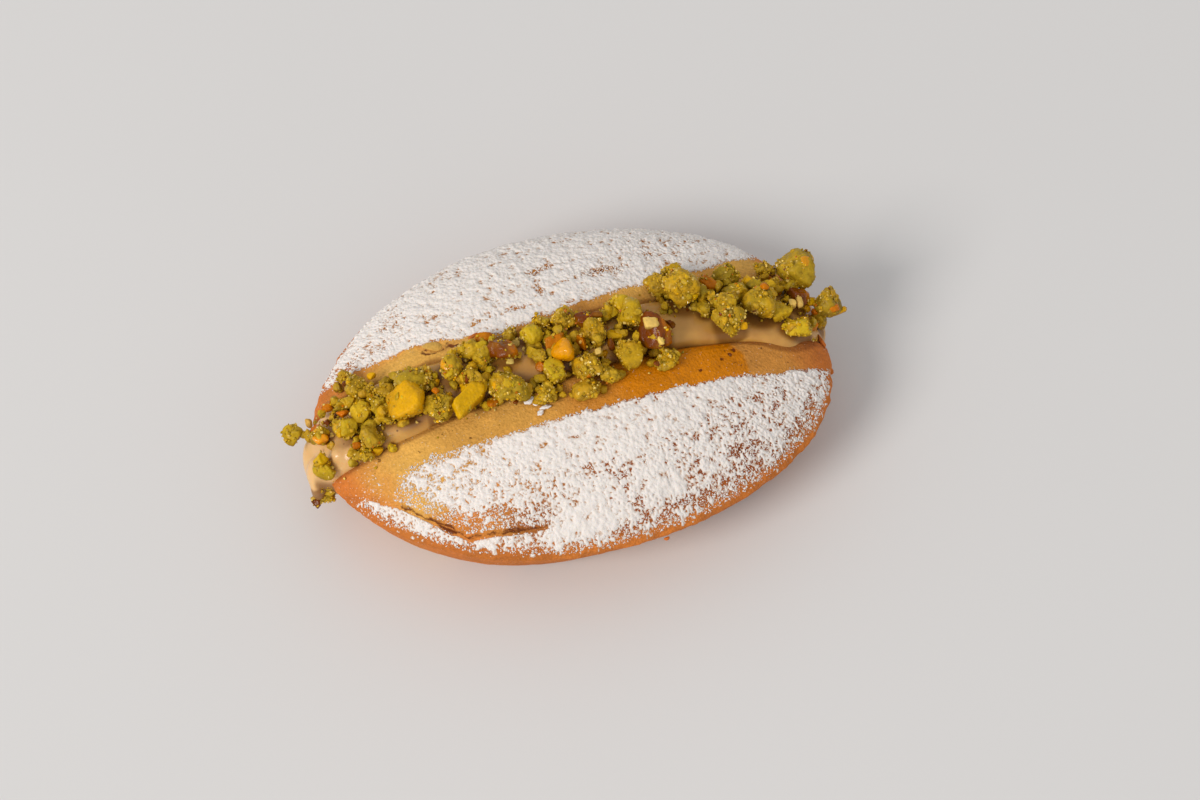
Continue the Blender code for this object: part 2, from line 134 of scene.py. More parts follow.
# The crack gapes in places: share of its length and radius of the gap.
CRACK_GAPES = ((0.0, 0.00003), (0.18, 0.00006), (0.24, 0.00014), (0.30, 0.00010), (0.40, 0.00013),
               (0.445, 0.00046), (0.475, 0.00042), (0.50, 0.00012), (0.60, 0.00006), (0.70, 0.00005),
               (0.75, 0.00018), (0.81, 0.00020), (0.86, 0.00005), (1.0, 0.0))
# The gap's form: the shares of the length where it starts and ends, its jogs and its uneven width with their
# cell sizes, and how far its middle is sunk.
GAP_ENDS = (0.02, 0.99)
GAP_STATIONS = 150
GAP_SIDES = 12
GAP_JOG = 0.00018
GAP_JOG_CELL = 0.0011
GAP_UNEVEN = 0.35
GAP_UNEVEN_CELL = 0.0009
GAP_SINK = 0.0003

# The cream stands a little proud of the slit, and its edges run over the lips in soft lobes.
CREAM_START = -0.0580
CREAM_END = 0.0573
CREAM_CROWN = 0.0013
CREAM_OVERLAP = 0.0013
CREAM_SQUARENESS = 5.0
CREAM_END_POWER = 14.0
CREAM_END_FULLNESS = 0.45
# The outermost sections stand this share of the half length out, and each has this many points.
CREAM_LAST_SECTION = 0.9995
CREAM_SIDES = 96
# The sections' middles lie this share of the way from a floor to the crown.
CREAM_HEART_FLOOR = 0.008
CREAM_HEART_SHARE = 0.51
# Each lobe: side (-1 near, 1 far), place along x, reach past the lip, half length.
CREAM_LOBES = ((-1, -0.038, 0.0010, 0.012), (-1, 0.046, 0.0026, 0.006), (-1, 0.026, -0.0010, 0.012),
               (1, -0.040, 0.0008, 0.008), (1, 0.010, 0.0008, 0.010), (1, 0.048, 0.0012, 0.007))
# The edges waver and the top swells unevenly: by how much, and the cell size. The two sides' noise is taken
# this far apart, and only the upper part of a section swells.
CREAM_WAVER = 0.00045
CREAM_WAVER_CELL = 0.0042
CREAM_SIDES_APART = 0.02
CREAM_SWELL = 0.00028
CREAM_SWELL_CELL = 0.0045
CREAM_SWELLS_ABOVE = 0.3
# How far below a nut the painted shade reaches on the cream, and the reading in half widths that stops it.
NUT_SHADE_DEPTH = 0.0020
NUT_SHADE_STOP = 1.6
# Half widths from a nut's middle over which the painted shade fades, and where the pointed end's cream,
# painted lighter and with no shade, ends, in x and z.
NUT_SHADE_FADES = (0.9, 1.4)
LIT_CREAM_END = (-0.052, -0.047)
LIT_CREAM_BOTTOM = (0.015, 0.018)
# The drop that sags out of the pointed end, its thin tip and the swelling above it: centre and radii.
CREAM_SAGS = (((-0.0549, -0.0042, 0.0137), (0.0030, 0.0033, 0.0058)),
              ((-0.0562, -0.0064, 0.0117), (0.0015, 0.0018, 0.0040)),
              ((-0.0500, -0.0052, 0.0224), (0.0024, 0.0020, 0.0018)))
SAG_GRID = (30, 40)
CREAM_VOXEL = 0.00050
CREAM_SMOOTHING = 8

# ---- pistachios ----

COATED, DEEP, GREEN, KERNEL, HONEY, TOASTED, SKIN, PALE = (
    "coated", "deep", "green", "kernel", "honey", "toasted", "skin", "pale")
# Nuts in millimetres, as in the next two tables: x, y, z, length along x, thickness across, kind.
NUTS = (
    (-58.6, 3.1, 20.4, 4.4, 4.4, GREEN), (-53.2, -0.1, 23.6, 4.6, 4.4, COATED),
    (-48.0, -2.2, 27.5, 5.3, 5.3, GREEN), (-43.6, -6.7, 29.1, 5.2, 5.0, COATED),
    (-53.8, -6.8, 21.8, 4.6, 5.0, GREEN), (-45.4, -8.8, 26.8, 4.8, 3.6, COATED),
    (-44.1, 5.8, 28.7, 5.7, 5.3, COATED), (-44.0, -0.6, 29.6, 4.8, 4.4, GREEN),
    (-40.5, 0.6, 30.1, 4.2, 4.0, COATED), (-45.0, 9.8, 26.3, 4.2, 3.4, COATED),
    (-34.5, -2.9, 33.9, 8.0, 7.4, KERNEL), (-30.1, 2.3, 33.1, 4.0, 5.5, COATED),
    (-28.8, -5.6, 33.7, 5.1, 6.7, COATED), (-23.3, -6.8, 35.6, 4.4, 9.4, KERNEL),
    (-25.0, 1.4, 34.9, 5.3, 5.9, COATED), (-20.4, 5.1, 34.7, 5.1, 4.0, COATED),
    (-18.1, 1.9, 35.8, 3.8, 5.5, COATED), (-20.6, -2.2, 35.2, 4.8, 4.8, COATED),
    (-16.3, 7.3, 34.5, 4.2, 3.4, TOASTED), (-13.6, 2.0, 37.4, 5.7, 5.9, SKIN),
    (-14.7, -6.3, 36.3, 9.7, 6.7, DEEP), (-7.3, 4.3, 36.3, 5.1, 4.2, GREEN),
    (-4.4, 6.5, 35.9, 4.0, 3.6, COATED), (-0.2, 6.3, 36.8, 5.5, 5.1, COATED),
    (-3.2, 1.2, 37.1, 5.5, 3.6, TOASTED), (-1.9, -1.9, 37.4, 4.4, 5.9, HONEY),
    (-4.8, -5.8, 36.5, 5.1, 6.3, GREEN), (-7.2, -9.3, 34.8, 5.5, 4.2, COATED),
    (4.1, 5.0, 36.2, 4.0, 3.6, SKIN), (5.9, 1.4, 37.0, 4.4, 5.5, COATED),
    (2.5, -5.8, 36.4, 6.5, 5.9, COATED), (6.4, -8.6, 34.8, 3.4, 4.0, COATED),
    (1.0, -10.4, 35.0, 5.5, 4.6, COATED), (12.2, 7.4, 35.4, 5.3, 4.0, GREEN),
    (14.0, 3.0, 37.0, 5.9, 7.0, GREEN), (11.0, -4.8, 36.6, 5.9, 7.4, GREEN),
    (17.7, -1.9, 37.2, 6.5, 8.6, SKIN), (18.2, -7.0, 33.8, 5.1, 4.2, COATED),
    (25.8, 14.0, 32.2, 4.6, 3.6, COATED), (21.6, 10.8, 33.1, 4.4, 5.5, COATED),
    (25.5, 6.9, 36.0, 7.4, 8.2, COATED), (32.1, 9.4, 31.9, 3.8, 4.0, TOASTED),
    (37.2, 11.7, 29.8, 5.5, 4.4, DEEP), (34.0, 2.9, 34.0, 6.3, 5.8, COATED),
    (34.0, -1.4, 33.7, 6.7, 6.9, DEEP), (46.1, 13.4, 26.0, 3.8, 3.6, COATED),
    (41.6, 1.9, 31.5, 7.6, 6.9, DEEP), (45.8, 0.8, 28.5, 5.1, 3.8, GREEN),
    (48.3, -2.3, 25.9, 7.2, 4.4, GREEN), (51.1, 4.4, 26.0, 4.8, 5.1, SKIN),
    (52.3, 10.8, 26.6, 8.2, 8.2, DEEP), (57.6, 4.0, 22.4, 6.2, 6.2, DEEP),
    (-50.4, 4.9, 24.7, 2.9, 2.5, TOASTED), (-39.2, -3.7, 30.3, 3.4, 2.9, COATED),
    (-17.9, -7.7, 33.6, 2.5, 2.5, TOASTED), (-6.4, -0.7, 36.2, 3.4, 2.9, COATED),
    (2.4, -0.1, 36.9, 1.9, 4.2, TOASTED), (9.4, 0.0, 36.0, 3.2, 2.9, KERNEL),
    (29.6, 2.7, 33.3, 3.6, 3.6, COATED), (41.2, 9.1, 29.6, 3.2, 3.2, KERNEL),
    (55.4, 1.7, 19.4, 1.9, 4.6, COATED), (46.8, 8.6, 26.9, 3.4, 2.9, COATED),
    (-57.0, -7.3, 8.9, 3.0, 3.2, SKIN), (-54.6, -7.6, 9.8, 4.4, 3.0, DEEP),
)
# Nuts that fill in behind and between the others.
FILLS = (
    (-32.2, 1.3, 33.4, 8.8, 5.2, COATED), (-38.4, 1.8, 31.2, 3.8, 3.4, COATED),
    (-41.6, 3.6, 30.0, 3.6, 3.2, COATED), (-47.4, 3.4, 27.0, 3.4, 3.0, DEEP),
    (-37.6, 4.6, 30.6, 3.0, 2.6, DEEP), (-11.2, 6.2, 35.4, 3.4, 3.0, COATED),
    (8.6, 5.4, 35.6, 3.2, 3.0, DEEP), (30.0, 6.4, 33.6, 3.4, 3.4, DEEP),
    (37.6, 6.2, 31.8, 4.0, 3.6, COATED), (42.0, 7.4, 30.0, 3.6, 3.2, DEEP),
    (50.2, 7.6, 26.4, 3.0, 3.0, COATED), (-54.0, -7.1, 13.4, 4.4, 2.4, DEEP),
    (-54.3, -6.0, 24.0, 3.6, 3.0, KERNEL), (-39.8, -9.0, 27.1, 2.3, 2.0, GREEN),
)
# Smaller chips that show on the nuts and beside them.
CHIPS = (
    (-25.2, 1.6, 36.6, 2.8, 2.8, HONEY), (16.7, -1.3, 39.9, 3.2, 2.8, PALE),
    (17.7, -5.3, 38.9, 1.6, 2.2, PALE), (42.8, 4.3, 34.2, 2.2, 1.8, TOASTED),
    (54.0, 10.2, 29.4, 2.8, 3.2, HONEY), (50.3, 1.9, 28.7, 1.5, 2.6, PALE),
    (48.7, 2.2, 28.4, 1.6, 2.0, PALE), (-46.7, -7.0, 28.2, 2.0, 1.7, TOASTED),
    (-47.8, 0.9, 28.0, 3.0, 1.8, TOASTED), (-46.8, 3.3, 27.8, 2.4, 2.0, COATED),
    (-42.7, 3.1, 30.6, 2.6, 2.2, COATED), (-40.3, 7.3, 29.6, 2.0, 1.8, KERNEL),
    (-35.9, 4.4, 32.0, 2.6, 2.4, COATED), (-36.7, -6.6, 32.2, 2.8, 2.2, COATED),
    (-13.6, -8.9, 34.2, 1.8, 1.2, SKIN), (-10.4, 3.9, 35.0, 2.2, 1.8, PALE),
    (6.9, 4.3, 38.3, 3.6, 1.4, SKIN), (5.4, -1.5, 39.2, 2.6, 2.4, COATED),
    (4.8, -4.3, 38.6, 1.4, 1.6, PALE), (16.0, -8.6, 35.8, 1.3, 1.2, SKIN),
    (-45.9, 7.3, 28.9, 1.2, 1.2, SKIN), (-12.7, -0.9, 36.6, 1.6, 1.6, PALE),
    (60.0, 2.2, 20.4, 3.6, 1.6, KERNEL), (-51.4, 1.2, 25.4, 1.6, 1.4, SKIN),
    (14.8, 2.0, 39.6, 2.0, 1.8, COATED), (36.0, -3.2, 33.4, 2.6, 2.2, KERNEL),
    (-53.4, -1.8, 24.3, 3.4, 2.6, HONEY), (-28.8, -3.4, 36.2, 1.8, 1.6, TOASTED),
)
# Nuts whose lean in radians and sharpness of edges show plainly: number in the table, lean, sharpness.
NUT_SHAPES = ((3, 0.2, 7.0), (5, 0.0, 16.0), (10, 0.25, 12.0), (13, -0.85, 30.0), (25, 0.45, 3.5))
# Nuts and chips that broke into flat-sided shards: their numbers in the tables.
NUT_SHARDS = (13, 26, 35, 47)
CHIP_SHARDS = (1, 2, 5, 6, 7, 18, 21, 22)
# A nut's height over its thickness, the greatest random lean, the cell size of its lumps, and the weight and
# cell size of each layer of its swelling.
NUT_FLATNESS = 0.92
NUT_LEAN = 0.35
NUT_LUMP_CELL = 0.00090
SWELLING_LAYERS = ((1.0, 0.0024), (0.5, 0.0012))
# What is taken off the lumpy noise, so that its hollows lie in.
LUMP_MIDDLE = 0.45
# Rows and columns of points on each piece.
NUT_GRID = (30, 44)
FILL_GRID = (22, 32)
CHIP_GRID = (14, 20)
BIT_GRID = (5, 8)
CRUMB_GRID = (2, 5)
FLAKE_GRID = (16, 24)
LUMP_GRID = (16, 22)
GRAIN_GRID = (1, 4)
# How tall the lumps on chips and bits are beside those on a nut of their kind, and the bits' sharpness.
CHIP_LUMPS = 0.7
BIT_LUMPS = 0.5
BIT_SHARPNESS = 30.0
NUT_SEED = 23
BIT_SEED = 5
CRUMB_SEED = 31
# Where the cream lies bare between the nuts, in millimetres: x, y and radius.
BARE_CREAM = ((-50.6, -5.6, 3.0), (-37.1, -7.0, 2.4), (-9.8, -2.4, 2.6), (25.9, -1.5, 4.2),
              (41.2, -3.8, 3.4), (21.0, -4.0, 2.0), (33.0, -5.5, 2.0))
# The bits that lead from the middle line to each nut: their spacing, scatter, reach in x, and sizes.
LINK_SPACING = 0.0024
LINK_SCATTER = 0.0004
LINK_REACH = 0.0505
LINK_START_SHARE = 0.95
LINK_SIZES = (0.0018, 0.0030)
# The bits at each nut's foot: how many, how far out over its length and thickness, sizes, how high they lie
# over their size, and how far out of the line of nuts and of the rim they may lie.
FEET = 6
FOOT_REACH = (0.58, 0.54)
FOOT_SIZES = (0.0012, 0.0028)
FOOT_LIFT = (0.2, 0.9)
FOOT_OUTER = 0.0005
FOOT_RIM_SHARE = 0.95
# The knobs stuck to the nuts: how many, sizes, the smallest half length of a nut that has some, how deep
# they sit over their size, and how far down a nut they go.
KNOBS = 430
KNOB_SIZES = (0.0010, 0.0023)
KNOB_NUT = 0.0023
KNOB_DEPTH = 0.28
KNOB_LOWEST = -0.35
BIT_MIX = ((COATED, 0.64), (GREEN, 0.25), (KERNEL, 0.06), (TOASTED, 0.025), (SKIN, 0.025))
# Loose crumbs: reach along x, spread across the middle line, and the farthest that they lie from a nut.
LOOSE_REACH = 0.054
LOOSE_SPREAD = 0.0042
LOOSE_FROM_NUT = 0.0048
# The line of nuts moves to the far side: how far, where it starts and over which length.
RIDGE_SHIFT = 0.0022
RIDGE_SHIFT_START = 0.008
RIDGE_SHIFT_LENGTH = 0.022
# How far past the slit's edge nuts still lie on the cream.
CROWN_OVERLAP = 0.0006

# ---- icing sugar ----

# Where the sugar starts on the two sides: x, then distance from the slit's middle line, in millimetres.
NEAR_SUGAR_EDGE = ((-54, 14.4), (-33, 13.9), (-18, 14.6), (3, 15.0), (20, 14.6), (33, 14.4), (40, 14.7),
                   (46, 14.1), (54, 13.6))
FAR_SUGAR_EDGE = ((-54, 13.0), (-42, 13.0), (-30, 12.7), (-12, 8.0), (14, 11.2), (33, 12.9), (46, 17.0))
# The fields' reach round the rim, in degrees from the blunt end, the shares of the rim's x at their inner
# and outer ends, and how far inside their edge they start.
NEAR_SUGAR_REACH = (158.0, 15.0)
FAR_SUGAR_REACH = (158.0, 30.0)
SUGAR_STATIONS = 600
SUGAR_POINTS = 126
SUGAR_INNER_SHARE = 0.965
SUGAR_OUTER_SHARE = 0.996
SUGAR_INNER_SPARE = 0.0011
# Where there is no sugar its skin lies this deep in the crust.
SUGAR_DIP = 0.00025
# What a full cover adds, what is taken off all over with the clots' noise, and the height of one of these.
SUGAR_FULL = 4.1
SUGAR_OFF = 1.96
SUGAR_CLOTTING = 0.00011
# The clots' noise: weight and cell size of each layer. It is calmer by a share where the cover is full.
CLOTS = ((2.3, 0.00031), (1.0, 0.00055), (1.1, 0.0013), (0.7, 0.0036))
CLOTS_CALMED = 0.35
# Where the sugar is thick it lies in soft heaps: their height, and weight and cell size of each layer.
SUGAR_HEAPS = 0.00016
HEAP_LAYERS = ((1.0, 0.0012), (0.6, 0.00065))
# The field is pulled down into the crust where the crack gapes: how deep, and from which radius of the gap.
CRACK_CLEARANCE = 0.0022
CRACK_PARTS_SUGAR = (0.00002, 0.00008)
CRACK_SUGAR_EDGE = 0.0003
# Stray grains lie clear of the rim and the crack.
GRAIN_RIM_SHARE = 0.990
GRAIN_CRACK_CLEARANCE = 0.0004
GRAIN_SEED = 47

# ---- the view ----

AIM = (0.0054, -0.0037, 0.017)
CAMERA_ELEVATION = math.radians(61)
CAMERA_AZIMUTH = math.radians(-15)
CAMERA_DISTANCE = 0.5
SENSOR = 36.0
PHOTO_WIDTH = 1200
PHOTO_FOCUS = 2377
NEAREST_SEEN = 0.01
KEY_AZIMUTH = math.radians(-65)
KEY_ELEVATION = math.radians(38.5)
KEY_COLOUR = (1.0, 0.975, 0.94)
FILL_COLOUR = (0.96, 0.98, 1.0, 1.0)
FLOOR_HALF = 1.5


def tone(red, green, blue):
    """Return a colour of screen values from 0 to 255 as the linear values that a shader takes."""
    values = np.array([red, green, blue]) / 255.0
    linear = np.where(values > 0.04045, ((values + 0.055) / 1.055) ** 2.4, values / 12.92)
    return tuple(float(value) for value in linear)


def colour_prop(name, description, default):
    """Return a property that holds a colour."""
    return bpy.props.FloatVectorProperty(
        name=name, description=description, subtype="COLOR", min=0.0, max=1.0, default=default)


def length_prop(name, description, default, low, high):
    """Return a property that holds a length."""
    return bpy.props.FloatProperty(
        name=name, description=description, unit="LENGTH", precision=5, min=low, max=high, default=default)


def count_prop(name, description, default, low=0):
    """Return a property that holds a whole number."""
    return bpy.props.IntProperty(name=name, description=description, min=low, default=default)


# ---- numbers worked out as whole arrays ----

def rise(values, low, high):
    """Return 0 below low, 1 above high and the smooth cubic 3t^2 - 2t^3 between them."""
    share = np.clip((values - low) / (high - low), 0.0, 1.0)
    return share * share * (3.0 - 2.0 * share)


def hashed(cells, seed):
    """Return a value from 0 to 1 for whole-numbered cells: their numbers and the seed are multiplied by large
    primes and their bits folded."""
    mixed = cells[..., 0] * 73856093 ^ cells[..., 1] * 19349663 ^ cells[..., 2] * 83492791 ^ seed * 39916801
    mixed &= 0xFFFFFFFF
    mixed = (mixed ^ mixed >> 15) * 1274126177 & 0xFFFFFFFF
    mixed = (mixed ^ mixed >> 13) * 1103515245 & 0xFFFFFFFF
    return (mixed ^ mixed >> 16) / 4294967296.0


def soft_noise(points, cell, seed):
    """Return noise from -1 to 1: hashed values at the corners of a cubic lattice, blended smoothly."""
    scaled = np.asarray(points) / cell
    corner = np.floor(scaled).astype(np.int64)
    share = scaled - corner
    share = share * share * (3.0 - 2.0 * share)
    total = 0.0
    for step in itertools.product((0, 1), repeat=3):
        weight = np.prod(np.where(step, share, 1.0 - share), axis=-1)
        total = total + weight * hashed(corner + np.array(step), seed)
    return 2.0 * total - 1.0


def layered_noise(points, layers, seed):
    """Return the sum of layers of soft noise, each with its weight and cell size."""
    return sum(weight * soft_noise(points, cell, seed + number)
               for number, (weight, cell) in enumerate(layers))


def lump_noise(points, cell, seed):
    """Return 1 at the middles of scattered lumps and 0 between them: one less the distance to the nearest of
    points that are jittered in a cubic lattice, over the cell size."""
    scaled = np.asarray(points) / cell
    corner = np.floor(scaled).astype(np.int64)
    nearest = np.full(scaled.shape[:-1], 9.0)
    for step in itertools.product((-1, 0, 1), repeat=3):
        near = corner + np.array(step)
        jitter = np.stack([hashed(near, seed + number) for number in range(3)], axis=-1)
        nearest = np.minimum(nearest, ((near + jitter - scaled) ** 2).sum(-1))
    return np.clip(1.0 - np.sqrt(nearest), 0.0, 1.0)


def plan_points(x, y):
    """Return plan places as points at height 0, for noise that doesn't change with height."""
    return np.stack([x, y, np.zeros_like(x)], axis=-1)


def plan_bell(x, y, place_x, place_y, reach_x, reach_y):
    """Return 1 at a place in plan, which falls off with the squared distance over the reach along x and y
    in an exponential. Place and reach are in millimetres."""
    along, across = (x - place_x * MM) / (reach_x * MM), (y - place_y * MM) / (reach_y * MM)
    return np.exp(-along ** 2 - across ** 2)


# ---- the form of the crust, the same as its solid's ----

def rim_points(angle):
    """Return the rim's x and y: the outline's power n changes with the cosine of the eccentric angle, and
    the circle's point is scaled by (|cos|^n + |sin|^n)^(-1/n)."""
    cosine, sine = np.cos(angle), np.sin(angle)
    power = OUTLINE_POWER + OUTLINE_POWER_CHANGE * cosine
    scale = (np.abs(cosine) ** power + np.abs(sine) ** power) ** (-1.0 / power)
    return HALF_LENGTH * cosine * scale, HALF_WIDTH * sine * scale


def rim_share(x, y):
    """Return how far out plan places lie, 0 at the middle and 1 at the rim: (|x/a|^n + |y/b|^n)^(1/n)."""
    across, up = x / HALF_LENGTH, y / HALF_WIDTH
    radius = np.maximum(np.hypot(across, up), 1e-9)
    power = OUTLINE_POWER + OUTLINE_POWER_CHANGE * across / radius
    return (np.abs(across) ** power + np.abs(up) ** power) ** (1.0 / power)


def dome_height(x, y):
    """Return the unslit top's height: the rim's height plus the rise times (1 - share^p)^(1/q)."""
    share = np.minimum(rim_share(x, y), 1.0)
    return RIM_HEIGHT + DOME_RISE * (1.0 - share ** DOME_POWER) ** (1.0 / DOME_FULLNESS)


def slit_centre(x):
    """Return the y of the slit's middle line, a straight line slightly askew."""
    return SLIT_OFFSET + SLIT_SLOPE * x


def slit_half_width(x):
    """Return half the slit's width: a middle width plus an opening with the square of x."""
    opening = np.where(x < 0, SLIT_OPENING_LEFT, SLIT_OPENING_RIGHT)
    return SLIT_HALF_WIDTH + opening * (x / HALF_LENGTH) ** 2


def route_reading(x, y, route):
    """Return the distance in plan from a route, positive outside, and the share of its length there. Each
    straight stretch gives its own nearest place, and the closest counts."""
    route = np.array(route)
    starts, steps = route[:-1], np.diff(route, axis=0)
    lengths = np.linalg.norm(steps, axis=1)
    begun = np.cumsum(lengths) - lengths
    from_x, from_y = x[..., None] - starts[:, 0], y[..., None] - starts[:, 1]
    along = np.clip((from_x * steps[:, 0] + from_y * steps[:, 1]) / lengths ** 2, 0.0, 1.0)
    away = np.hypot(from_x - along * steps[:, 0], from_y - along * steps[:, 1])
    outward = np.where(from_x * steps[:, 1] - from_y * steps[:, 0] > 0, 1.0, -1.0)
    nearest = away.argmin(-1)[..., None]
    distance = np.take_along_axis(away * outward, nearest, -1)[..., 0]
    travelled = np.take_along_axis(begun + along * lengths, nearest, -1)[..., 0]
    return distance, travelled / lengths.sum()


def crack_gap(travelled):
    """Return the radius of the crack's gap at shares of its length, straight between the named ones."""
    return np.interp(travelled, *np.array(CRACK_GAPES).T)


def crack_step(x, y):
    """Return the lift inside the crack or the drop outside it, which fades with the squared distance in an
    exponential and runs out at both ends."""
    distance, travelled = route_reading(x, y, CRACK_ROUTE)
    outside = rise(distance, -CRACK_EDGE, CRACK_EDGE)
    ends = rise(travelled, 0.0, CRACK_GROWN) * (1.0 - rise(travelled, CRACK_FALLS, 1.0))
    fade = np.exp(-(distance / CRACK_REACH) ** 2) * ends
    return fade * (CRACK_LIFT * (1.0 - outside) - CRACK_DROP * outside)


def crust_height(x, y):
    """Return the height of the top with its long waves and the crack's step, both run out at the rim."""
    share = np.minimum(rim_share(x, y), 1.0)
    swell = sum(height * np.sin(along * x + across * y + phase)
                for height, along, across, phase in SWELL_WAVES)
    crack = crack_step(x, y) * (1.0 - share ** CRACK_RUNS_OUT)
    return dome_height(x, y) + swell * (1.0 - share ** WAVES_RUN_OUT) + crack


def crust_relief(points):
    """Return how far the baked surface stands out or in: layers of soft noise, and lumps that fade with the
    squared distance above or below the rim in an exponential."""
    looks = bpy.context.scene.crust_looks
    crumbly = np.exp(-((points[..., 2] - RIM_HEIGHT) / CRUMBLE_REACH) ** 2)
    return (looks.relief * layered_noise(points, RELIEF_LAYERS, 3)
            + looks.crumble * crumbly * layered_noise(points, CRUMBLE_LAYERS, 7))


def bell(angle, place):
    """Return an amount that falls off from its angle by the square in an exponential."""
    centre, half_width, amount = place
    return amount * np.exp(-((angle - centre) / half_width) ** 2)


def swollen(points):
    """Return points of the top moved outwards in plan by the rim's swelling, which grows with a power of
    how far out they lie."""
    x, y = points[..., 0], points[..., 1]
    angle = np.arctan2(y / HALF_WIDTH, x / HALF_LENGTH)
    outward = points[..., :2] / np.maximum(np.hypot(x, y), 1e-9)[..., None]
    push = bell(angle, RIM_SWELL) * np.minimum(rim_share(x, y), 1.0) ** RIM_SWELL_POWER
    return np.concatenate([points[..., :2] + outward * push[..., None], points[..., 2:]], axis=-1)


def surface_normals(grid):
    """Return unit normals of a grid of points, from the cross product of its two differences, pointing away
    from the pastry's middle."""
    normal = np.cross(np.gradient(grid, axis=0), np.gradient(grid, axis=1))
    normal /= np.maximum(np.linalg.norm(normal, axis=-1, keepdims=True), 1e-15)
    away = grid - np.array([0.0, 0.0, RIM_HEIGHT / 2])
    return normal * np.sign((normal * away).sum(-1, keepdims=True))


# ---- meshes from arrays ----

def mesh_piece(name, points, quads, triangles):
    """Put points and faces of four and of three corners into a new smooth-shaded mesh object."""
    mesh = bpy.data.meshes.new(name)
    corners = np.concatenate([quads.ravel(), triangles.ravel()])
    starts = np.concatenate([np.arange(len(quads)) * 4, quads.size + np.arange(len(triangles)) * 3])
    mesh.vertices.add(len(points))
    mesh.vertices.foreach_set("co", points.ravel().astype(np.float32))
    mesh.loops.add(len(corners))
    mesh.loops.foreach_set("vertex_index", corners.astype(np.int32))
    mesh.polygons.add(len(starts))
    mesh.polygons.foreach_set("loop_start", starts.astype(np.int32))
    mesh.update(calc_edges=True)
    mesh.shade_smooth()
    obj = bpy.data.objects.new(name, mesh)
    bpy.context.scene.collection.objects.link(obj)
    return obj


def closed_forms(name, rings, poles):
    """Make closed forms: each ring of points is joined to the next, and the first and the last to a pole.
    rings is forms x rings x points x 3, and poles is forms x 2 x 3. Faces are turned outwards by the sign of
    the first form's volume, the sum of a . (b x c) over its triangles."""
    forms, rows, columns = rings.shape[:3]
    size = rows * columns + 2
    points = np.concatenate([rings.reshape(forms, rows * columns, 3), poles], axis=1)
    row, column = np.meshgrid(np.arange(rows - 1) * columns, np.arange(columns), indexing="ij")
    following = (column + 1) % columns
    quads = np.stack([row + column, row + following, row + columns + following, row + columns + column], -1)
    quads = quads.reshape(-1, 4)
    column = np.arange(columns)
    following = (column + 1) % columns
    last = (rows - 1) * columns
    caps = np.concatenate([
        np.stack([np.full(columns, size - 2), following, column], -1),
        np.stack([np.full(columns, size - 1), last + column, last + following], -1)])
    split = np.concatenate([quads[:, [0, 1, 2]], quads[:, [0, 2, 3]], caps])
    a, b, c = np.moveaxis(points[0][split], 1, 0)
    if (a * np.cross(b, c)).sum() < 0:
        quads, caps = quads[:, ::-1], caps[:, ::-1]
    shift = np.arange(forms)[:, None, None] * size
    quads, caps = (quads + shift).reshape(-1, 4), (caps + shift).reshape(-1, 3)
    return mesh_piece(name, points.reshape(-1, 3), quads, caps)


def closed_tube(name, rings):
    """Make one closed form of rings of points, its two ends drawn together in their rings' middles."""
    return closed_forms(name, rings[None], rings[[0, -1]].mean(1)[None])


def points_of(obj):
    """Return an object's mesh points as an array."""
    points = np.empty(len(obj.data.vertices) * 3, np.float32)
    obj.data.vertices.foreach_get("co", points)
    return points.reshape(-1, 3).astype(float)


def set_numbers(obj, name, values):
    """Store a number for each point, for a material to read by name."""
    attribute = obj.data.attributes.new(name, "FLOAT", "POINT")
    attribute.data.foreach_set("value", np.ascontiguousarray(values, dtype=np.float32))


def set_colours(obj, name, colours):
    """Store a colour for each point, for a material to read by name."""
    attribute = obj.data.attributes.new(name, "FLOAT_COLOR", "POINT")
    solid = np.concatenate([colours, np.ones((len(colours), 1))], axis=1)
    attribute.data.foreach_set("color", solid.ravel().astype(np.float32))


def keep_modifiers(obj):
    """Replace an object's mesh by what its modifiers make of it."""
    graph = bpy.context.evaluated_depsgraph_get()
    mesh = bpy.data.meshes.new_from_object(obj.evaluated_get(graph))
    old_mesh = obj.data
    obj.modifiers.clear()
    obj.data = mesh
    bpy.data.meshes.remove(old_mesh)
    if not len(mesh.polygons):
        raise RuntimeError(f"{obj.name} has no faces left")


def cut(obj, cutter):
    """Cut one closed mesh out of another, and remove the cutter."""
    modifier = obj.modifiers.new("cut", "BOOLEAN")
    modifier.operation = "DIFFERENCE"
    modifier.solver = "MANIFOLD"
    modifier.object = cutter
    keep_modifiers(obj)
    bpy.data.objects.remove(cutter, do_unlink=True)


def dress(obj, material, slot, *nodes):
    """Give a piece its material, let it ride on the pastry and stand for its nodes. The slot is not used."""
    obj.data.materials.clear()
    obj.data.materials.append(material)
    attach(obj, "root")
    if nodes:
        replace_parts(obj, *nodes)
    return obj


# ---- shader maths ----

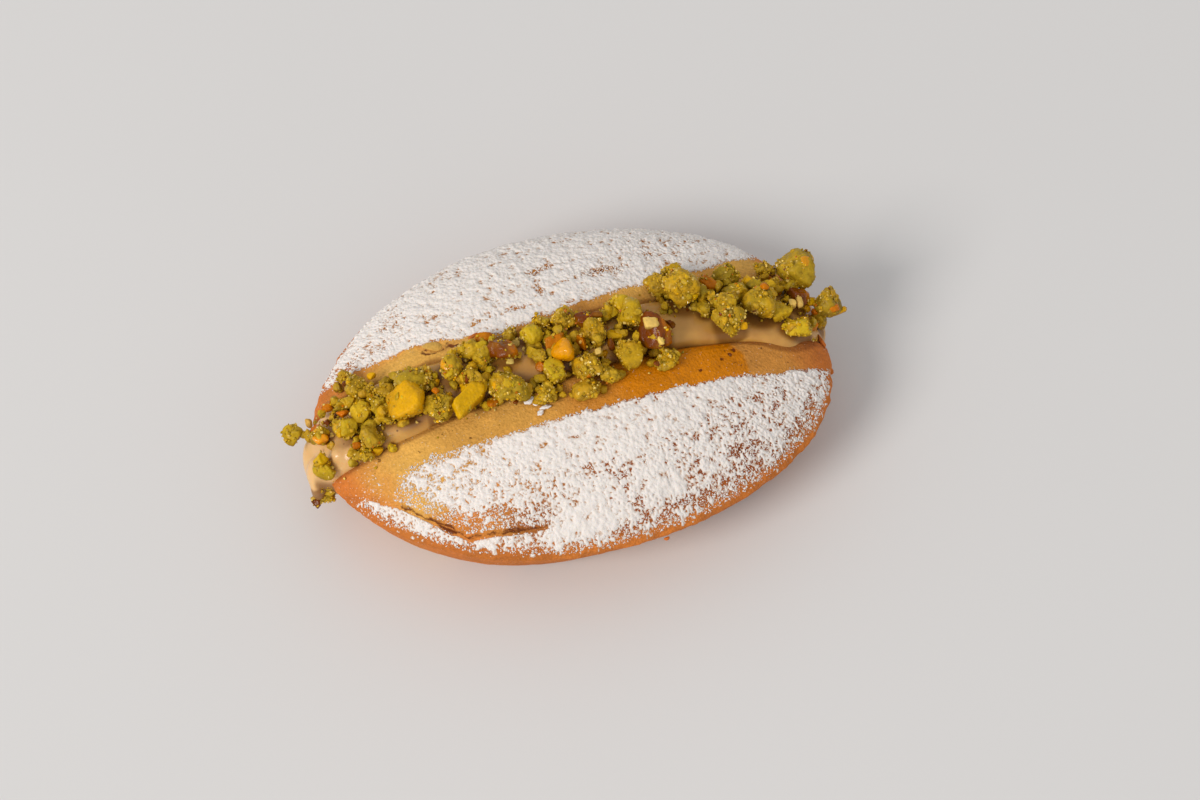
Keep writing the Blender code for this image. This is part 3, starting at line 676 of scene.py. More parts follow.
class Shade:
    """A socket of a material that takes part in Python arithmetic: each operator adds its Math node."""

    def __init__(self, tree, socket=None):
        self.tree = tree
        self.socket = socket

    def node(self, kind, settings=(), inputs=(), output=0):
        """Add a node, set its settings, then its sockets to values or links, and return one output."""
        node = self.tree.nodes.new(kind)
        for name, value in dict(settings).items():
            setattr(node, name, value)
        for key, value in dict(inputs).items():
            if isinstance(value, Shade):
                self.tree.links.new(value.socket, node.inputs[key])
            else:
                node.inputs[key].default_value = value
        return Shade(self.tree, node.outputs[output])

    def math(self, operation, *values, clamp=False):
        """Add a Math node on one value or more."""
        settings = {"operation": operation, "use_clamp": clamp}
        return self.node("ShaderNodeMath", settings, enumerate(values))

    def __add__(self, other):
        return self.math("ADD", self, other)

    def __sub__(self, other):
        return self.math("SUBTRACT", self, other)

    def __rsub__(self, other):
        return self.math("SUBTRACT", other, self)

    def __mul__(self, other):
        return self.math("MULTIPLY", self, other)

    __radd__ = __add__
    __rmul__ = __mul__

    def held(self):
        """Return the value kept between 0 and 1."""
        return self.math("MAXIMUM", self, 0.0, clamp=True)

    def step(self, low, high):
        """Return 0 below low and 1 above high, with a straight line between them."""
        return ((self - low) * (1.0 / (high - low))).held()

    def place(self):
        """Return the Object coordinates."""
        return self.node("ShaderNodeTexCoord", output="Object")

    def number(self, name):
        """Return a number stored on the mesh."""
        return self.node("ShaderNodeAttribute", {"attribute_name": name}, output="Fac")

    def colour(self, name):
        """Return a colour stored on the mesh."""
        return self.node("ShaderNodeAttribute", {"attribute_name": name}, output="Color")

    def noise(self, size, detail=2.0):
        """Return cloudy noise whose features are about size across, in metres."""
        inputs = {"Vector": self.place(), "Scale": 1.0 / size, "Detail": detail}
        return self.node("ShaderNodeTexNoise", (), inputs, "Fac")

    def cells(self, size):
        """Return the distance from the middles of scattered cells about size across, in metres."""
        inputs = {"Vector": self.place(), "Scale": 1.0 / size}
        return self.node("ShaderNodeTexVoronoi", (), inputs, "Distance")

    def mix(self, factor, first, second, blend="MIX"):
        """Return two colours mixed by a factor."""
        settings = {"data_type": "RGBA", "blend_type": blend}
        return self.node("ShaderNodeMix", settings, {0: factor, 6: first, 7: second}, 2)

    def bump(self, height, strength, distance):
        """Return the normal of a surface roughened by a height."""
        inputs = {"Height": height, "Strength": strength, "Distance": distance}
        return self.node("ShaderNodeBump", (), inputs, "Normal")


def new_material(name, constants):
    """Return a material, a Shade to work in it, and its Principled shader with constant sockets set."""
    material = bpy.data.materials.new(name)
    material.use_nodes = True
    shader = material.node_tree.nodes["Principled BSDF"]
    for key, value in constants.items():
        shader.inputs[key].default_value = value
    return material, Shade(material.node_tree), shader


def connect(material, shader, sockets):
    """Link worked-out values to the Principled shader's sockets."""
    for key, value in sockets.items():
        material.node_tree.links.new(value.socket, shader.inputs[key])


def opaque(colour):
    """Return a colour with full opacity, as a colour socket takes it."""
    return (*colour, 1.0)


# ---- crust ----

class CrustLooks(bpy.types.PropertyGroup):
    """Colours and relief of the baked crust."""

    golden: colour_prop(
        "Golden", "Lightly baked crust beside the pointed end of the slit", tone(232, 180, 86))
    buff: colour_prop("Buff", "Duller crust of the middle of the near lip", tone(212, 159, 72))
    tan: colour_prop("Tan", "Crust of the middle bake", tone(204, 137, 60))
    orange: colour_prop("Orange", "Warm crust at the pointed end", tone(204, 116, 46))
    amber: colour_prop(
        "Amber", "Dark glossy crust where the lip took up the filling's oil", tone(206, 122, 0))
    rim: colour_prop("Rim", "Browned rim and wall", tone(204, 114, 46))
    # Russet is partly reddish brown crust and partly painted shadow of the sugar beside it.
    russet_and_shade: colour_prop("Russet and shade", "Reddish brown crust that shows between the sugar", tone(142, 68, 28))
    # Burnt spots, and painted shade in the crack, the pits, round the flake and beside the cream.
    scorched_and_shade: colour_prop("Scorched and shade", "Darkest spots, pores and the depth of the crack", tone(104, 44, 12))
    relief: length_prop("Relief", "Height of the baked surface's unevenness", 0.00012, 0.0, 0.0004)
    crumble: length_prop("Crumble", "Height of the lumps at the rim", 0.00030, 0.0, 0.0008)
    columns: count_prop("Columns", "Points around the rim", 620, 60)
    top_rows: count_prop("Top rows", "Rings of points from the middle to the rim", 108, 12)


# Each zone of the bake: x, y and reach along x and y in millimetres, and the looks' colour there.
CRUST_ZONES = (
    (-39, -13, 9, 6, "golden"), (-17, -10, 13, 5, "buff"), (-36, 9, 9, 4, "golden"),
    (-22, 10, 8, 3, "golden"), (-34, -21, 6, 3, "golden"), (-26, -26, 7, 3, "orange"),
    (-15, -30, 5, 3, "russet_and_shade"), (-50, -12, 6, 5, "orange"), (-50, 7, 5, 6, "orange"),
    (-45, -18, 5, 4, "orange"), (-52, -11, 3, 4, "rim"), (20, 13, 8, 4, "golden"),
    (44, 16, 7, 4, "golden"), (52, -8, 4, 7, "rim"), (30, -27, 8, 4, "scorched_and_shade"),
    # The russet zone at x -23 on the far lip is painted shadow of the sugar's edge.
    (-23, 10, 3, 0.9, "russet_and_shade"), (-30, 12.6, 8, 1.2, "orange"), (-44, 11.5, 5, 2.5, "orange"),
)
# How much tan there is beside a zone's middle, and how far the bake wavers, with its cell size.
TAN_WEIGHT = 0.35
WAVER = 0.0012
WAVER_CELL = 0.0035
# Where each tint sets in. The amber near lip: its two ends along x, and its two edges' distance from the
# slit's middle line. The browned rim: share of the way out, height on the wall, and how far below the rim
# it is paler again. The painted shadow line beside the cream: its width, and its height.
AMBER_STARTS = (-0.010, 0.014)
AMBER_STOPS = (0.0337, 0.0343)
AMBER_INNER = (0.002, 0.004)
AMBER_OUTER = (0.016, 0.019)
RIM_BROWNS = (0.90, 0.985)
WALL_BROWNS = (0.0150, 0.0185)
WALL_PALES = (0.004, 0.015)
CREAM_SHADOW_WIDTH = 0.0007
CREAM_SHADOW_HEIGHT = (0.018, 0.022)
# Russet shows under the sugar, reddish brown crust with painted shadow of the sugar: from how much dust,
# and on the near side more of it along x. It also tints the ledge outside the crack, by distance from it
# and along x.
RUSSET_AND_SHADE_DUST = (0.1, 0.6)
RUSSET_AND_SHADE_NEAR = (-0.022, 0.004)
LEDGE_STARTS = (0.0003, 0.0012)
LEDGE_STOPS = (-0.015, -0.005)
# Thin dust beside the crack's pointed end, as a place and reach in millimetres, and its amount.
SANDY_PLACE = (-47, -16, 7, 6)
SANDY_AMOUNT = 0.55
# Heights between which the dust and the dark marks set in, so that the wall has none.
DUST_HEIGHT = (0.0165, 0.0178)
MARKS_HEIGHT = (0.0162, 0.0174)
# The crack's dark line, painted shade in the crack: how much narrower than the gap, how uneven and how far
# off the route it is, with cell sizes, what takes it off the wall and the ends, and the shares of the
# length where it runs out.
LINE_INSET = 0.00005
LINE_UNEVEN = 0.00010
LINE_UNEVEN_CELL = 0.0011
LINE_WOBBLE = 0.00022
LINE_WOBBLE_CELL = 0.0013
LINE_OFF = 0.002
LINE_STARTS = (0.14, 0.20)
LINE_STOPS = (0.96, 1.0)
# The painted shadow round the large flake on the crust: half its width, and how much thinner it is on
# the far side.
FLAKE_LINE = 0.00012
FLAKE_LINE_FADE = 0.0003
# Small pits and burnt spots on the crust, drawn dark as burnt colour and painted shade in the pits: x, y
# and radius in millimetres.
CRUST_PITS = (
    (25.1, -9.6, 0.40), (33.4, -5.8, 0.50), (32.4, -6.8, 0.46), (30.4, -7.8, 0.44), (36.2, -6.2, 0.30),
    (34.6, -7.6, 0.22), (31.4, -5.9, 0.20), (38.1, -8.0, 0.20), (35.4, -4.9, 0.24), (36.6, -8.6, 0.20),
    (34.0, -9.4, 0.22), (29.2, -9.2, 0.20), (32.9, -8.6, 0.26), (39.6, -5.8, 0.18),
    (37.3, -10.2, 0.18), (-28.1, 10.1, 0.30), (-21.6, 8.6, 0.42), (9.2, 19.0, 0.34), (10.4, 19.3, 0.50),
    (11.8, 19.2, 0.46), (13.2, 19.5, 0.52), (14.6, 19.3, 0.34), (-1.4, 22.8, 0.34), (-2.0, 18.4, 0.30),
    (-1.9, 19.8, 0.26), (1.3, 23.8, 0.28), (5.9, 18.4, 0.26), (22.6, 22.1, 0.30), (29.0, -26.4, 0.34),
    (32.0, -26.0, 0.30), (34.6, -25.0, 0.34), (36.2, -24.2, 0.26),
    (-42.9, -9.7, 0.18), (-42.5, -10.1, 0.20), (-34.7, -11.3, 0.18), (-34.6, -11.8, 0.20),
    (-36.9, -13.8, 0.18), (-36.5, -14.1, 0.16), (-29.4, -9.8, 0.20), (-29.1, -10.2, 0.16),
    (-24.3, -12.2, 0.20), (-23.9, -12.4, 0.16), (-22.8, 8.9, 0.50), (-43.0, -9.9, 0.20),
    (-42.4, -10.1, 0.16), (-36.6, -8.0, 0.16), (-34.8, -14.2, 0.18), (-27.0, -9.6, 0.16),
    (14.2, -11.0, 0.22), (44.5, -9.4, 0.22),
)


def crust_body(looks):
    """Make the unslit crust: rings on the dome at equal steps of latitude, rings down the wall, whose inset
    is 0.62 d + 0.38 d^5 of the base's inset at a drop d, all moved out by the relief, and the flat base."""
    angle = 2 * np.pi * np.arange(looks.columns) / looks.columns
    rim_x, rim_y = rim_points(angle)
    share = np.sin(np.pi / 2 * np.arange(1, looks.top_rows + 1) / looks.top_rows)[:, None]
    x, y = share * rim_x, share * rim_y
    top = np.stack([x, y, crust_height(x, y)], axis=-1)
    drop = (np.arange(1, WALL_ROWS + 1) / WALL_ROWS)[:, None]
    radius = np.hypot(rim_x, rim_y)
    inset = BASE_INSET * (WALL_EVEN_SHARE * drop + (1.0 - WALL_EVEN_SHARE) * drop ** WALL_POWER)
    signed_angle = np.arctan2(np.sin(angle), np.cos(angle))
    tuck = bell(signed_angle, WALL_TUCK) * rise(drop, 0.0, TUCK_GROWS_OVER)
    inset = inset + tuck - bell(signed_angle, RIM_SWELL)
    scale = (radius - inset) / radius
    wall = np.stack([rim_x * scale, rim_y * scale, RIM_HEIGHT * (1.0 - drop) + 0.0 * rim_x], axis=-1)
    body = np.concatenate([swollen(top), wall])
    off_base = rise(body[..., 2:], 0.0, RELIEF_START)
    body = body + surface_normals(body) * crust_relief(body)[..., None] * off_base
    base = wall[-1] * np.array(BASE_RINGS)[:, None, None]
    poles = np.array([[[0.0, 0.0, body[0, :, 2].mean()], [0.0, 0.0, 0.0]]])
    return closed_forms("crust", np.concatenate([body, base])[None], poles)


def slit_cutter():
    """Make the trough that opens the crust: at each station a floor with rounded corners, walls, lips
    rounded over to nearly level, and a flare up into the air."""
    x = CUT_REACH * np.sin(np.pi / 2 * np.linspace(-1, 1, CUT_STATIONS))
    centre, half = slit_centre(x), slit_half_width(x)[:, None]
    floor_turn = np.linspace(0, np.pi / 2, FLOOR_STEPS)
    lip_turn = np.linspace(0, LIP_TURN, LIP_STEPS)
    sides = []
    for side in (-1, 1):
        lip = crust_height(x, centre + side * (half[:, 0] + LIP_ROUND))[:, None]
        across = np.concatenate([
            half - SLIT_FLOOR_ROUND * (1 - np.sin(floor_turn)), half + LIP_ROUND * (1 - np.cos(lip_turn)),
            half + np.array([FLARE_WIDTH, FLARE_WIDTH])], axis=1)
        height = np.concatenate([
            SLIT_FLOOR + SLIT_FLOOR_ROUND * (1 - np.cos(floor_turn)) + 0 * half,
            lip - LIP_ROUND * (1 - np.sin(lip_turn)), lip + FLARE_RISE, CUT_TOP + 0 * lip], axis=1)
        sides.append(np.stack([x[:, None] + 0 * across, centre[:, None] + side * across, height], axis=-1))
    return closed_tube("slit_cutter", np.concatenate([sides[0][:, ::-1], sides[1]], axis=1))


def crack_cutter():
    """Make the crack's gap: a tube along the route, of changing radius, with its middle a little sunk."""
    route = np.array(CRACK_ROUTE)
    lengths = np.concatenate([[0.0], np.cumsum(np.linalg.norm(np.diff(route, axis=0), axis=1))])
    share = np.linspace(*GAP_ENDS, GAP_STATIONS)
    x = np.interp(share, lengths / lengths[-1], route[:, 0])
    y = np.interp(share, lengths / lengths[-1], route[:, 1])
    jog = GAP_JOG * soft_noise(plan_points(x, y), GAP_JOG_CELL, 8)
    x, y = x + jog, y + jog
    radius = crack_gap(share) * (1.0 + GAP_UNEVEN * soft_noise(plan_points(x, y), GAP_UNEVEN_CELL, 9))
    direction = np.stack([np.gradient(x), np.gradient(y)])
    direction /= np.linalg.norm(direction, axis=0)
    turn = 2 * np.pi * np.arange(GAP_SIDES) / GAP_SIDES
    side = radius[:, None] * np.cos(turn)
    rings = np.stack([x[:, None] - direction[1][:, None] * side, y[:, None] + direction[0][:, None] * side,
                      (dome_height(x, y) - GAP_SINK)[:, None] + radius[:, None] * np.sin(turn)], axis=-1)
    return closed_tube("crack_cutter", rings)


def zone_tint(x, y, looks):
    """Return the mean of tan and of the zones' colours: tan weighs the same all over, and each other colour
    by a bell that falls off from its zone's place."""
    weights = [np.full(len(x), TAN_WEIGHT)]
    colours = [looks.tan]
    for *place, name in CRUST_ZONES:
        weights.append(plan_bell(x, y, *place))
        colours.append(getattr(looks, name))
    weights = np.array(weights)
    return weights.T @ np.array([tuple(colour) for colour in colours]) / weights.sum(0)[:, None]


def mark_crust(crust, points, on_top):
    """Store what the material draws dark on the top, in millimetres: the distance from the crack's route and
    the gap there, for painted shade in the crack, and the distance from the nearest pit, for burnt spots
    and painted shade in pits, or from an ellipse round the large flake, for its painted shadow."""
    x, y = points.T[:2]
    distance, travelled = route_reading(x, y, CRACK_ROUTE)
    gap = crack_gap(travelled) - LINE_INSET + LINE_UNEVEN * soft_noise(points, LINE_UNEVEN_CELL, 9)
    gap = gap - LINE_OFF * (rise(travelled, *LINE_STOPS) + 1 - rise(travelled, *LINE_STARTS) + 1 - on_top)
    wobble = LINE_WOBBLE * soft_noise(points, LINE_WOBBLE_CELL, 10)
    set_numbers(crust, "crack", np.clip((distance + wobble) / MM, -2.0, 2.0))
    set_numbers(crust, "gap", gap / MM)
    marked = np.full(len(x), 1.0)
    for place_x, place_y, radius in CRUST_PITS:
        marked = np.minimum(marked, np.hypot(x - place_x * MM, y - place_y * MM) - radius * MM)
    flake_x, flake_y, length, width = np.array(CRUST_FLAKES[0])[[0, 1, 3, 4]] * MM
    outline = np.abs(np.hypot((x - flake_x) / length, (y - flake_y) / width) * 2 - 1) * width / 2
    outline = outline - FLAKE_LINE + FLAKE_LINE_FADE * rise(y, flake_y, flake_y + MM)
    set_numbers(crust, "marked", np.clip(np.minimum(marked, outline) / MM + 1 - on_top, -1.0, 1.0))


def paint_crust(crust, looks):
    """Store the bake's colour, gloss, dust and marks. Over the zones' tint come the amber lip, russet, partly
    painted shadow, under the sugar and on the ledge, the browned rim and wall, and a painted shadow line by
    the cream."""
    points = points_of(crust)
    x, y, z = points.T
    waver = WAVER * soft_noise(points, WAVER_CELL, 12)
    on_top = rise(z, *MARKS_HEIGHT)
    mark_crust(crust, points, on_top)
    beside = y - slit_centre(x)
    amber = rise(x + 3 * waver, *AMBER_STARTS) * (1 - rise(x + 1.4 * waver, *AMBER_STOPS)) * (beside < 0)
    amber = amber * rise(-beside, *AMBER_INNER) * (1 - rise(-beside, *AMBER_OUTER))
    browned = np.maximum(rise(rim_share(x, y) + 4 * waver, *RIM_BROWNS), 1 - rise(z, *WALL_BROWNS))
    browned = browned * (1 - 0.45 * rise(RIM_HEIGHT - z, *WALL_PALES))
    # A painted shadow line on the crust along the cream's edge, where the cream overhangs the lip.
    from_cream = np.abs(beside) - cream_half_width(x, np.sign(beside))
    cream_shadow = (1 - rise(from_cream + 0.3 * waver, 0.0, CREAM_SHADOW_WIDTH)) * rise(z, *CREAM_SHADOW_HEIGHT)
    dust = on_both_sides(sugar_cover, x, y)
    sandy = SANDY_AMOUNT * plan_bell(x, y, *SANDY_PLACE)
    dust = np.maximum(np.clip(dust, 0, 1), sandy) * rise(z, *DUST_HEIGHT)
    # Russet under the sugar: reddish brown crust with painted shadow of the sugar.
    russet_and_shade = np.where(beside < 0, 0.15 + 0.77 * rise(x, *RUSSET_AND_SHADE_NEAR), 0.55)
    distance = route_reading(x, y, CRACK_ROUTE)[0]
    ledge = 0.6 * rise(distance, *LEDGE_STARTS) * (1 - rise(x, *LEDGE_STOPS)) * on_top
    russet_and_shade = np.maximum(rise(dust - sandy, *RUSSET_AND_SHADE_DUST) * russet_and_shade, ledge)
    tint = zone_tint(x + waver, y + waver, looks)
    for amount, colour in ((amber, looks.amber), (russet_and_shade, looks.russet_and_shade),
                           (0.85 * browned * (1 - 0.6 * russet_and_shade), looks.rim), (0.5 * cream_shadow, looks.scorched_and_shade)):
        tint += amount[:, None] * (np.array(tuple(colour)) - tint)
    set_colours(crust, "tint", np.clip(tint, 0.0, 1.0))
    set_numbers(crust, "gloss", amber + 0.15 * (1 - browned))
    set_numbers(crust, "dust", dust)


def crust_material(looks, sugar):
    """The bake's stored colour with cloudy mottling, darker sandy specks, the dark marks, which are burnt
    spots and painted shade, and a haze of sugar, on a fine grain."""
    material, shade, shader = new_material("baked_crust", {"Specular IOR Level": 0.16})
    mottle = shade.noise(0.0040, 5.0)
    sand = shade.noise(0.00055, 3.0)
    speck = shade.cells(0.0011)
    haze = shade.noise(0.00040, 2.0)
    tint = shade.mix(1.0, shade.colour("tint"), 0.74 + 0.52 * mottle, "MULTIPLY")
    tint = shade.mix(1.0, tint, 0.66 + 0.70 * sand, "MULTIPLY")
    spots = (0.16 - speck).step(0.0, 0.12) * (mottle.step(0.50, 0.66)) * 0.30
    # Painted shade: the crack's line, the pits and the flake's outline take the scorched colour.
    crack = shade.math("ABSOLUTE", shade.number("crack")) - shade.number("gap")
    marked = shade.math("MINIMUM", shade.number("marked"), crack) + 0.35 * (sand - 0.5)
    marked = marked.step(0.09, -0.09) * 0.92
    tint = shade.mix((spots + marked).held(), tint, opaque(looks.scorched_and_shade))
    dusted = (shade.number("dust") * 0.16 + haze).step(0.70, 0.77)
    tint = shade.mix(dusted * 0.80, tint, opaque(sugar.white))
    roughness = (0.72 - 0.34 * shade.number("gloss") + 0.10 * (sand - 0.5) + dusted * 0.2).held()
    grain = sand + mottle * 0.6 + haze * 0.7 + speck * 0.4
    connect(material, shader, {"Base Color": tint, "Roughness": roughness,
                               "Normal": shade.bump(grain - marked * 1.5, 0.55, 0.00045)})
    return material


class MakeCrust(bpy.types.Operator):
    """Make the slit crust with its crack, its relief and its uneven bake"""

    bl_idname = "pasticciotto.make_crust"
    bl_label = "Crust"

    def execute(self, context):
        looks = context.scene.crust_looks
        crust = crust_body(looks)
        cut(crust, slit_cutter())
        cut(crust, crack_cutter())
        crust.data.shade_smooth()
        crust.data.set_sharp_from_angle(angle=SHARP_TURN)
        paint_crust(crust, looks)
        dress(crust, crust_material(looks, context.scene.sugar_looks), "crust", "pastry")
        return {"FINISHED"}


# Thin flakes and crumbs of crust: x, y, z, length along x, width across and thickness in millimetres, and
# lean in radians. The first is the large one at the far lip. Those left of an x are golden.
CRUST_FLAKES = (
    (-26.2, 9.9, 30.7, 5.4, 2.6, 0.9, -0.1), (54.5, -2.8, 17.8, 1.2, 3.8, 2.6, 0.15),
    (54.2, -9.0, 16.4, 1.5, 2.4, 1.8, 0.4), (10.5, -37.4, 14.9, 1.3, 0.9, 1.0, 0.3),
    (-54.9, 4.9, 20.4, 1.5, 2.2, 1.9, 0.1), (-18.2, 9.7, 31.9, 2.4, 0.9, 0.7, 0.5),
)
GOLDEN_FLAKES = -0.02
FLAKE_GLOSS = 0.1


class MakeFlakes(bpy.types.Operator):
    """Make the flakes of crust that stand at the lips and the blunt end"""

    bl_idname = "pasticciotto.make_flakes"
    bl_label = "Crust flakes"

    def execute(self, context):
        rows = np.array(CRUST_FLAKES)
        draw = np.random.default_rng(BIT_SEED)
        flakes = BrokenPieces(rows[:, :3] * MM, rows[:, 3:6] * MM, draw, lean=rows[:, 6])
        obj, points = flakes.make("crust_flakes", FLAKE_GRID)
        looks = context.scene.crust_looks
        tint = np.where(points[:, :1] < GOLDEN_FLAKES, tuple(looks.golden), tuple(looks.rim))
        tint = tint * (0.88 + 0.12 * soft_noise(points, 0.001, 3))[:, None]
        set_colours(obj, "tint", np.clip(tint, 0, 1))
        for name, value in (("gloss", FLAKE_GLOSS), ("marked", 1.0), ("crack", 1.0), ("dust", 0.0)):
            set_numbers(obj, name, np.full(len(points), value))
        dress(obj, bpy.data.materials["baked_crust"], "crust")
        return {"FINISHED"}


# ---- cream ----

class CreamLooks(bpy.types.PropertyGroup):
    """Colours of the nut cream."""

    beige: colour_prop("Beige", "The cream's main colour", tone(211, 157, 74))
    shaded: colour_prop("Shaded", "The cream's darker streaks", tone(188, 132, 58))
    # Painted light: the pale colour stands for the light on the pointed end's cream, which faces the key
    # light.
    pale: colour_prop("Pale", "The fresh cream that sags out of the pointed end", tone(228, 180, 116))
    speck: colour_prop("Speck", "Fine specks of nut skin in the cream", tone(96, 56, 26))
    # Painted shade: the colour of the cream in the shade under and between the nuts.
    shade_under_nuts: colour_prop("Shade under nuts", "Darker cream that took up oil under the nuts", tone(112, 62, 8))
    stations: count_prop("Stations", "Cross-sections along the cream", 240, 24)


def cream_station(share):
    """Return x, the end rounding, the heart's height and the crown's at shares of the cream's length: the
    rounding is (1 - |share|^p)^q, and the crown follows the dome along the slit."""
    x = (CREAM_START + CREAM_END) / 2 + (CREAM_END - CREAM_START) / 2 * share
    rounding = (1.0 - np.abs(share) ** CREAM_END_POWER) ** CREAM_END_FULLNESS
    crown = dome_height(x, slit_centre(x)) + CREAM_CROWN
    heart = CREAM_HEART_FLOOR + CREAM_HEART_SHARE * (crown - CREAM_HEART_FLOOR)
    return x, rounding, heart, crown


def cream_half_width(x, side):
    """Return how far the cream reaches to the near (-1) or far (1) side: past the lip, plus a bell for
    each lobe there."""
    reach = slit_half_width(x) + CREAM_OVERLAP
    for lobe_side, place, extra, length in CREAM_LOBES:
        reach = reach + extra * np.exp(-((x - place) / length) ** 2) * (side == lobe_side)
    return reach


def cream_body(looks):
    """Loft the cream: each section is a rounded square |u|^5 + |v|^5 = 1 about its heart, as wide as the
    cream reaches on either side, wavered by soft noise."""
    share = CREAM_LAST_SECTION * np.sin(np.pi / 2 * np.linspace(-1, 1, looks.stations))
    x, rounding, heart, crown = (values[:, None] for values in cream_station(share))
    turn = 2 * np.pi * (np.arange(CREAM_SIDES) + 0.5) / CREAM_SIDES
    power = 2.0 / CREAM_SQUARENESS
    across = np.sign(np.cos(turn)) * np.abs(np.cos(turn)) ** power
    up = np.sign(np.sin(turn)) * np.abs(np.sin(turn)) ** power
    side = np.sign(np.cos(turn))
    sides = plan_points(x + 0 * side, side * CREAM_SIDES_APART + 0 * x)
    reach = cream_half_width(x, side) + CREAM_WAVER * soft_noise(sides, CREAM_WAVER_CELL, 14)
    y = slit_centre(x) + reach * across * rounding
    swell = CREAM_SWELL * soft_noise(plan_points(x + 0 * y, y), CREAM_SWELL_CELL, 15)
    z = heart + (crown - heart + swell * (up > CREAM_SWELLS_ABOVE)) * up * rounding
    return closed_tube("nut_cream", np.stack([x + 0 * y, y, z], axis=-1))


def cream_sag():
    """Make the drop that sags out of the pointed end, its tip and the swelling: balls stretched to three
    radii each."""
    centres, radii = np.array(CREAM_SAGS)[:, :, None].transpose(1, 0, 2, 3)
    points = centres + ball_directions(*SAG_GRID) * radii
    return closed_forms("cream_sag", points[:, :-2].reshape(len(CREAM_SAGS), *SAG_GRID, 3), points[:, -2:])


def shade_under_nuts(points):
    """Return how much painted shade the cream gets under and between the nuts: all at a nut, fading out
    beside it and further below, and none on the painted-lit cream of the pointed end."""
    nuts = np.array([row[:5] for row in NUTS + FILLS]) * MM
    halves = nuts[:, 3:5] / 2
    away = np.linalg.norm((points[:, None, :2] - nuts[:, :2]) / halves, axis=-1)
    lower = np.abs(points[:, None, 2] - nuts[:, 2]) - halves.mean(-1)
    away = away + NUT_SHADE_STOP * rise(lower, NUT_SHADE_DEPTH, 2 * NUT_SHADE_DEPTH)
    # No painted shade on the pointed end's cream, which is painted lighter.
    lit_end = (1.0 - rise(points[:, 0], *LIT_CREAM_END)) * rise(points[:, 2], *LIT_CREAM_BOTTOM)
    return (1.0 - rise(away.min(1), *NUT_SHADE_FADES)) * (1.0 - lit_end)


def cream_material(looks):
    """Satin beige with soft streaks and a few fine dark specks, with painted shade under and between the
    nuts, and painted light on the cream of the pointed end.
    """
    material, shade, shader = new_material("nut_cream", {
        "Coat Roughness": 0.16, "Subsurface Weight": 0.25, "Subsurface Scale": 0.0012,
        "Subsurface Radius": (1.0, 0.55, 0.25), "Specular IOR Level": 0.3})
    streak = shade.noise(0.0050, 3.0)
    fine = shade.noise(0.00060, 2.0)
    specks = (0.10 - shade.cells(0.0030)).step(0.0, 0.03) * shade.noise(0.0060).step(0.52, 0.60)
    tint = shade.mix(streak.step(0.35, 0.70), opaque(looks.beige), opaque(looks.shaded))
    # Painted light: the cream of the pointed end is mixed towards the pale colour.
    along = shade.node("ShaderNodeSeparateXYZ", (), {"Vector": shade.place()}, "X")
    tint = shade.mix(1.0 - along.step(-0.052, -0.040), tint, opaque(looks.pale))
    tint = shade.mix(specks * 0.8, tint, opaque(looks.speck))
    # Painted shade under and between the nuts darkens the cream and takes off its coat.
    nut_shade = shade.number("nut_shade")
    tint = shade.mix(nut_shade * 0.75, tint, opaque(looks.shade_under_nuts))
    roughness = 0.34 + 0.16 * streak
    connect(material, shader, {"Base Color": tint, "Roughness": roughness, "Coat Weight": 0.50 - 0.45 * nut_shade,
                               "Normal": shade.bump(fine * 0.3 + streak, 0.12, 0.0004)})
    return material


class MakeCream(bpy.types.Operator):
    """Make the nut cream with its lobes and the drop at the pointed end"""

    bl_idname = "pasticciotto.make_cream"
    bl_label = "Nut cream"

    def execute(self, context):
        looks = context.scene.cream_looks
        cream = cream_body(looks)
        drop = cream_sag()
        with context.temp_override(active_object=cream, selected_editable_objects=[cream, drop]):
            bpy.ops.object.join()
        remesh = cream.modifiers.new("merge", "REMESH")
        remesh.mode = "VOXEL"
        remesh.voxel_size = CREAM_VOXEL
        smooth = cream.modifiers.new("soften", "SMOOTH")
        smooth.factor = 0.5
        smooth.iterations = CREAM_SMOOTHING
        keep_modifiers(cream)
        cream.data.shade_smooth()
        # Store the painted shade under and between the nuts.
        set_numbers(cream, "nut_shade", shade_under_nuts(points_of(cream)))
        dress(cream, cream_material(looks), "cream", "cream")
        return {"FINISHED"}


# ---- pistachios ----

class NutLooks(bpy.types.PropertyGroup):
    """Colours of the broken pistachios and how many crumbs lie on them."""

    coated: colour_prop("Coated", "Nuts coated in their own green crumbs", tone(192, 152, 32))
    deep: colour_prop("Deep", "Coated nuts of a deeper green", tone(170, 138, 28))
    green: colour_prop("Green", "Bare yellow-green kernels", tone(200, 159, 27))
    kernel: colour_prop("Kernel", "Bare yellow kernels", tone(224, 168, 4))
    honey: colour_prop("Honey", "Bright glossy amber kernels", tone(230, 152, 0))
    toasted: colour_prop("Toasted", "Toasted orange kernels", tone(198, 112, 4))
    skin: colour_prop("Skin", "Glossy brown skin", tone(122, 58, 2))
    pale: colour_prop("Pale", "Pale inner flesh", tone(224, 190, 98))
    # Painted shade: the olive stands for darker green and for the shade in the hollows between lumps.
    olive_and_shade: colour_prop("Olive and shade", "Darker green in the hollows", tone(124, 94, 18))
    # Painted shade: the colour that the nuts' undersides are multiplied by, darker where they face away from
    # the light.
    underside_shade: colour_prop("Underside shade", "What the nuts' undersides are multiplied by", (0.42, 0.34, 0.20))
    crumbs: count_prop("Crumbs on nuts", "Crumbs that stick to the nuts", 7200)
    crumb: length_prop("Crumb", "Size of a middling crumb", 0.00062, 0.0003, 0.0015)
    loose_crumbs: count_prop("Loose crumbs", "Crumbs that lie between the nuts", 900)


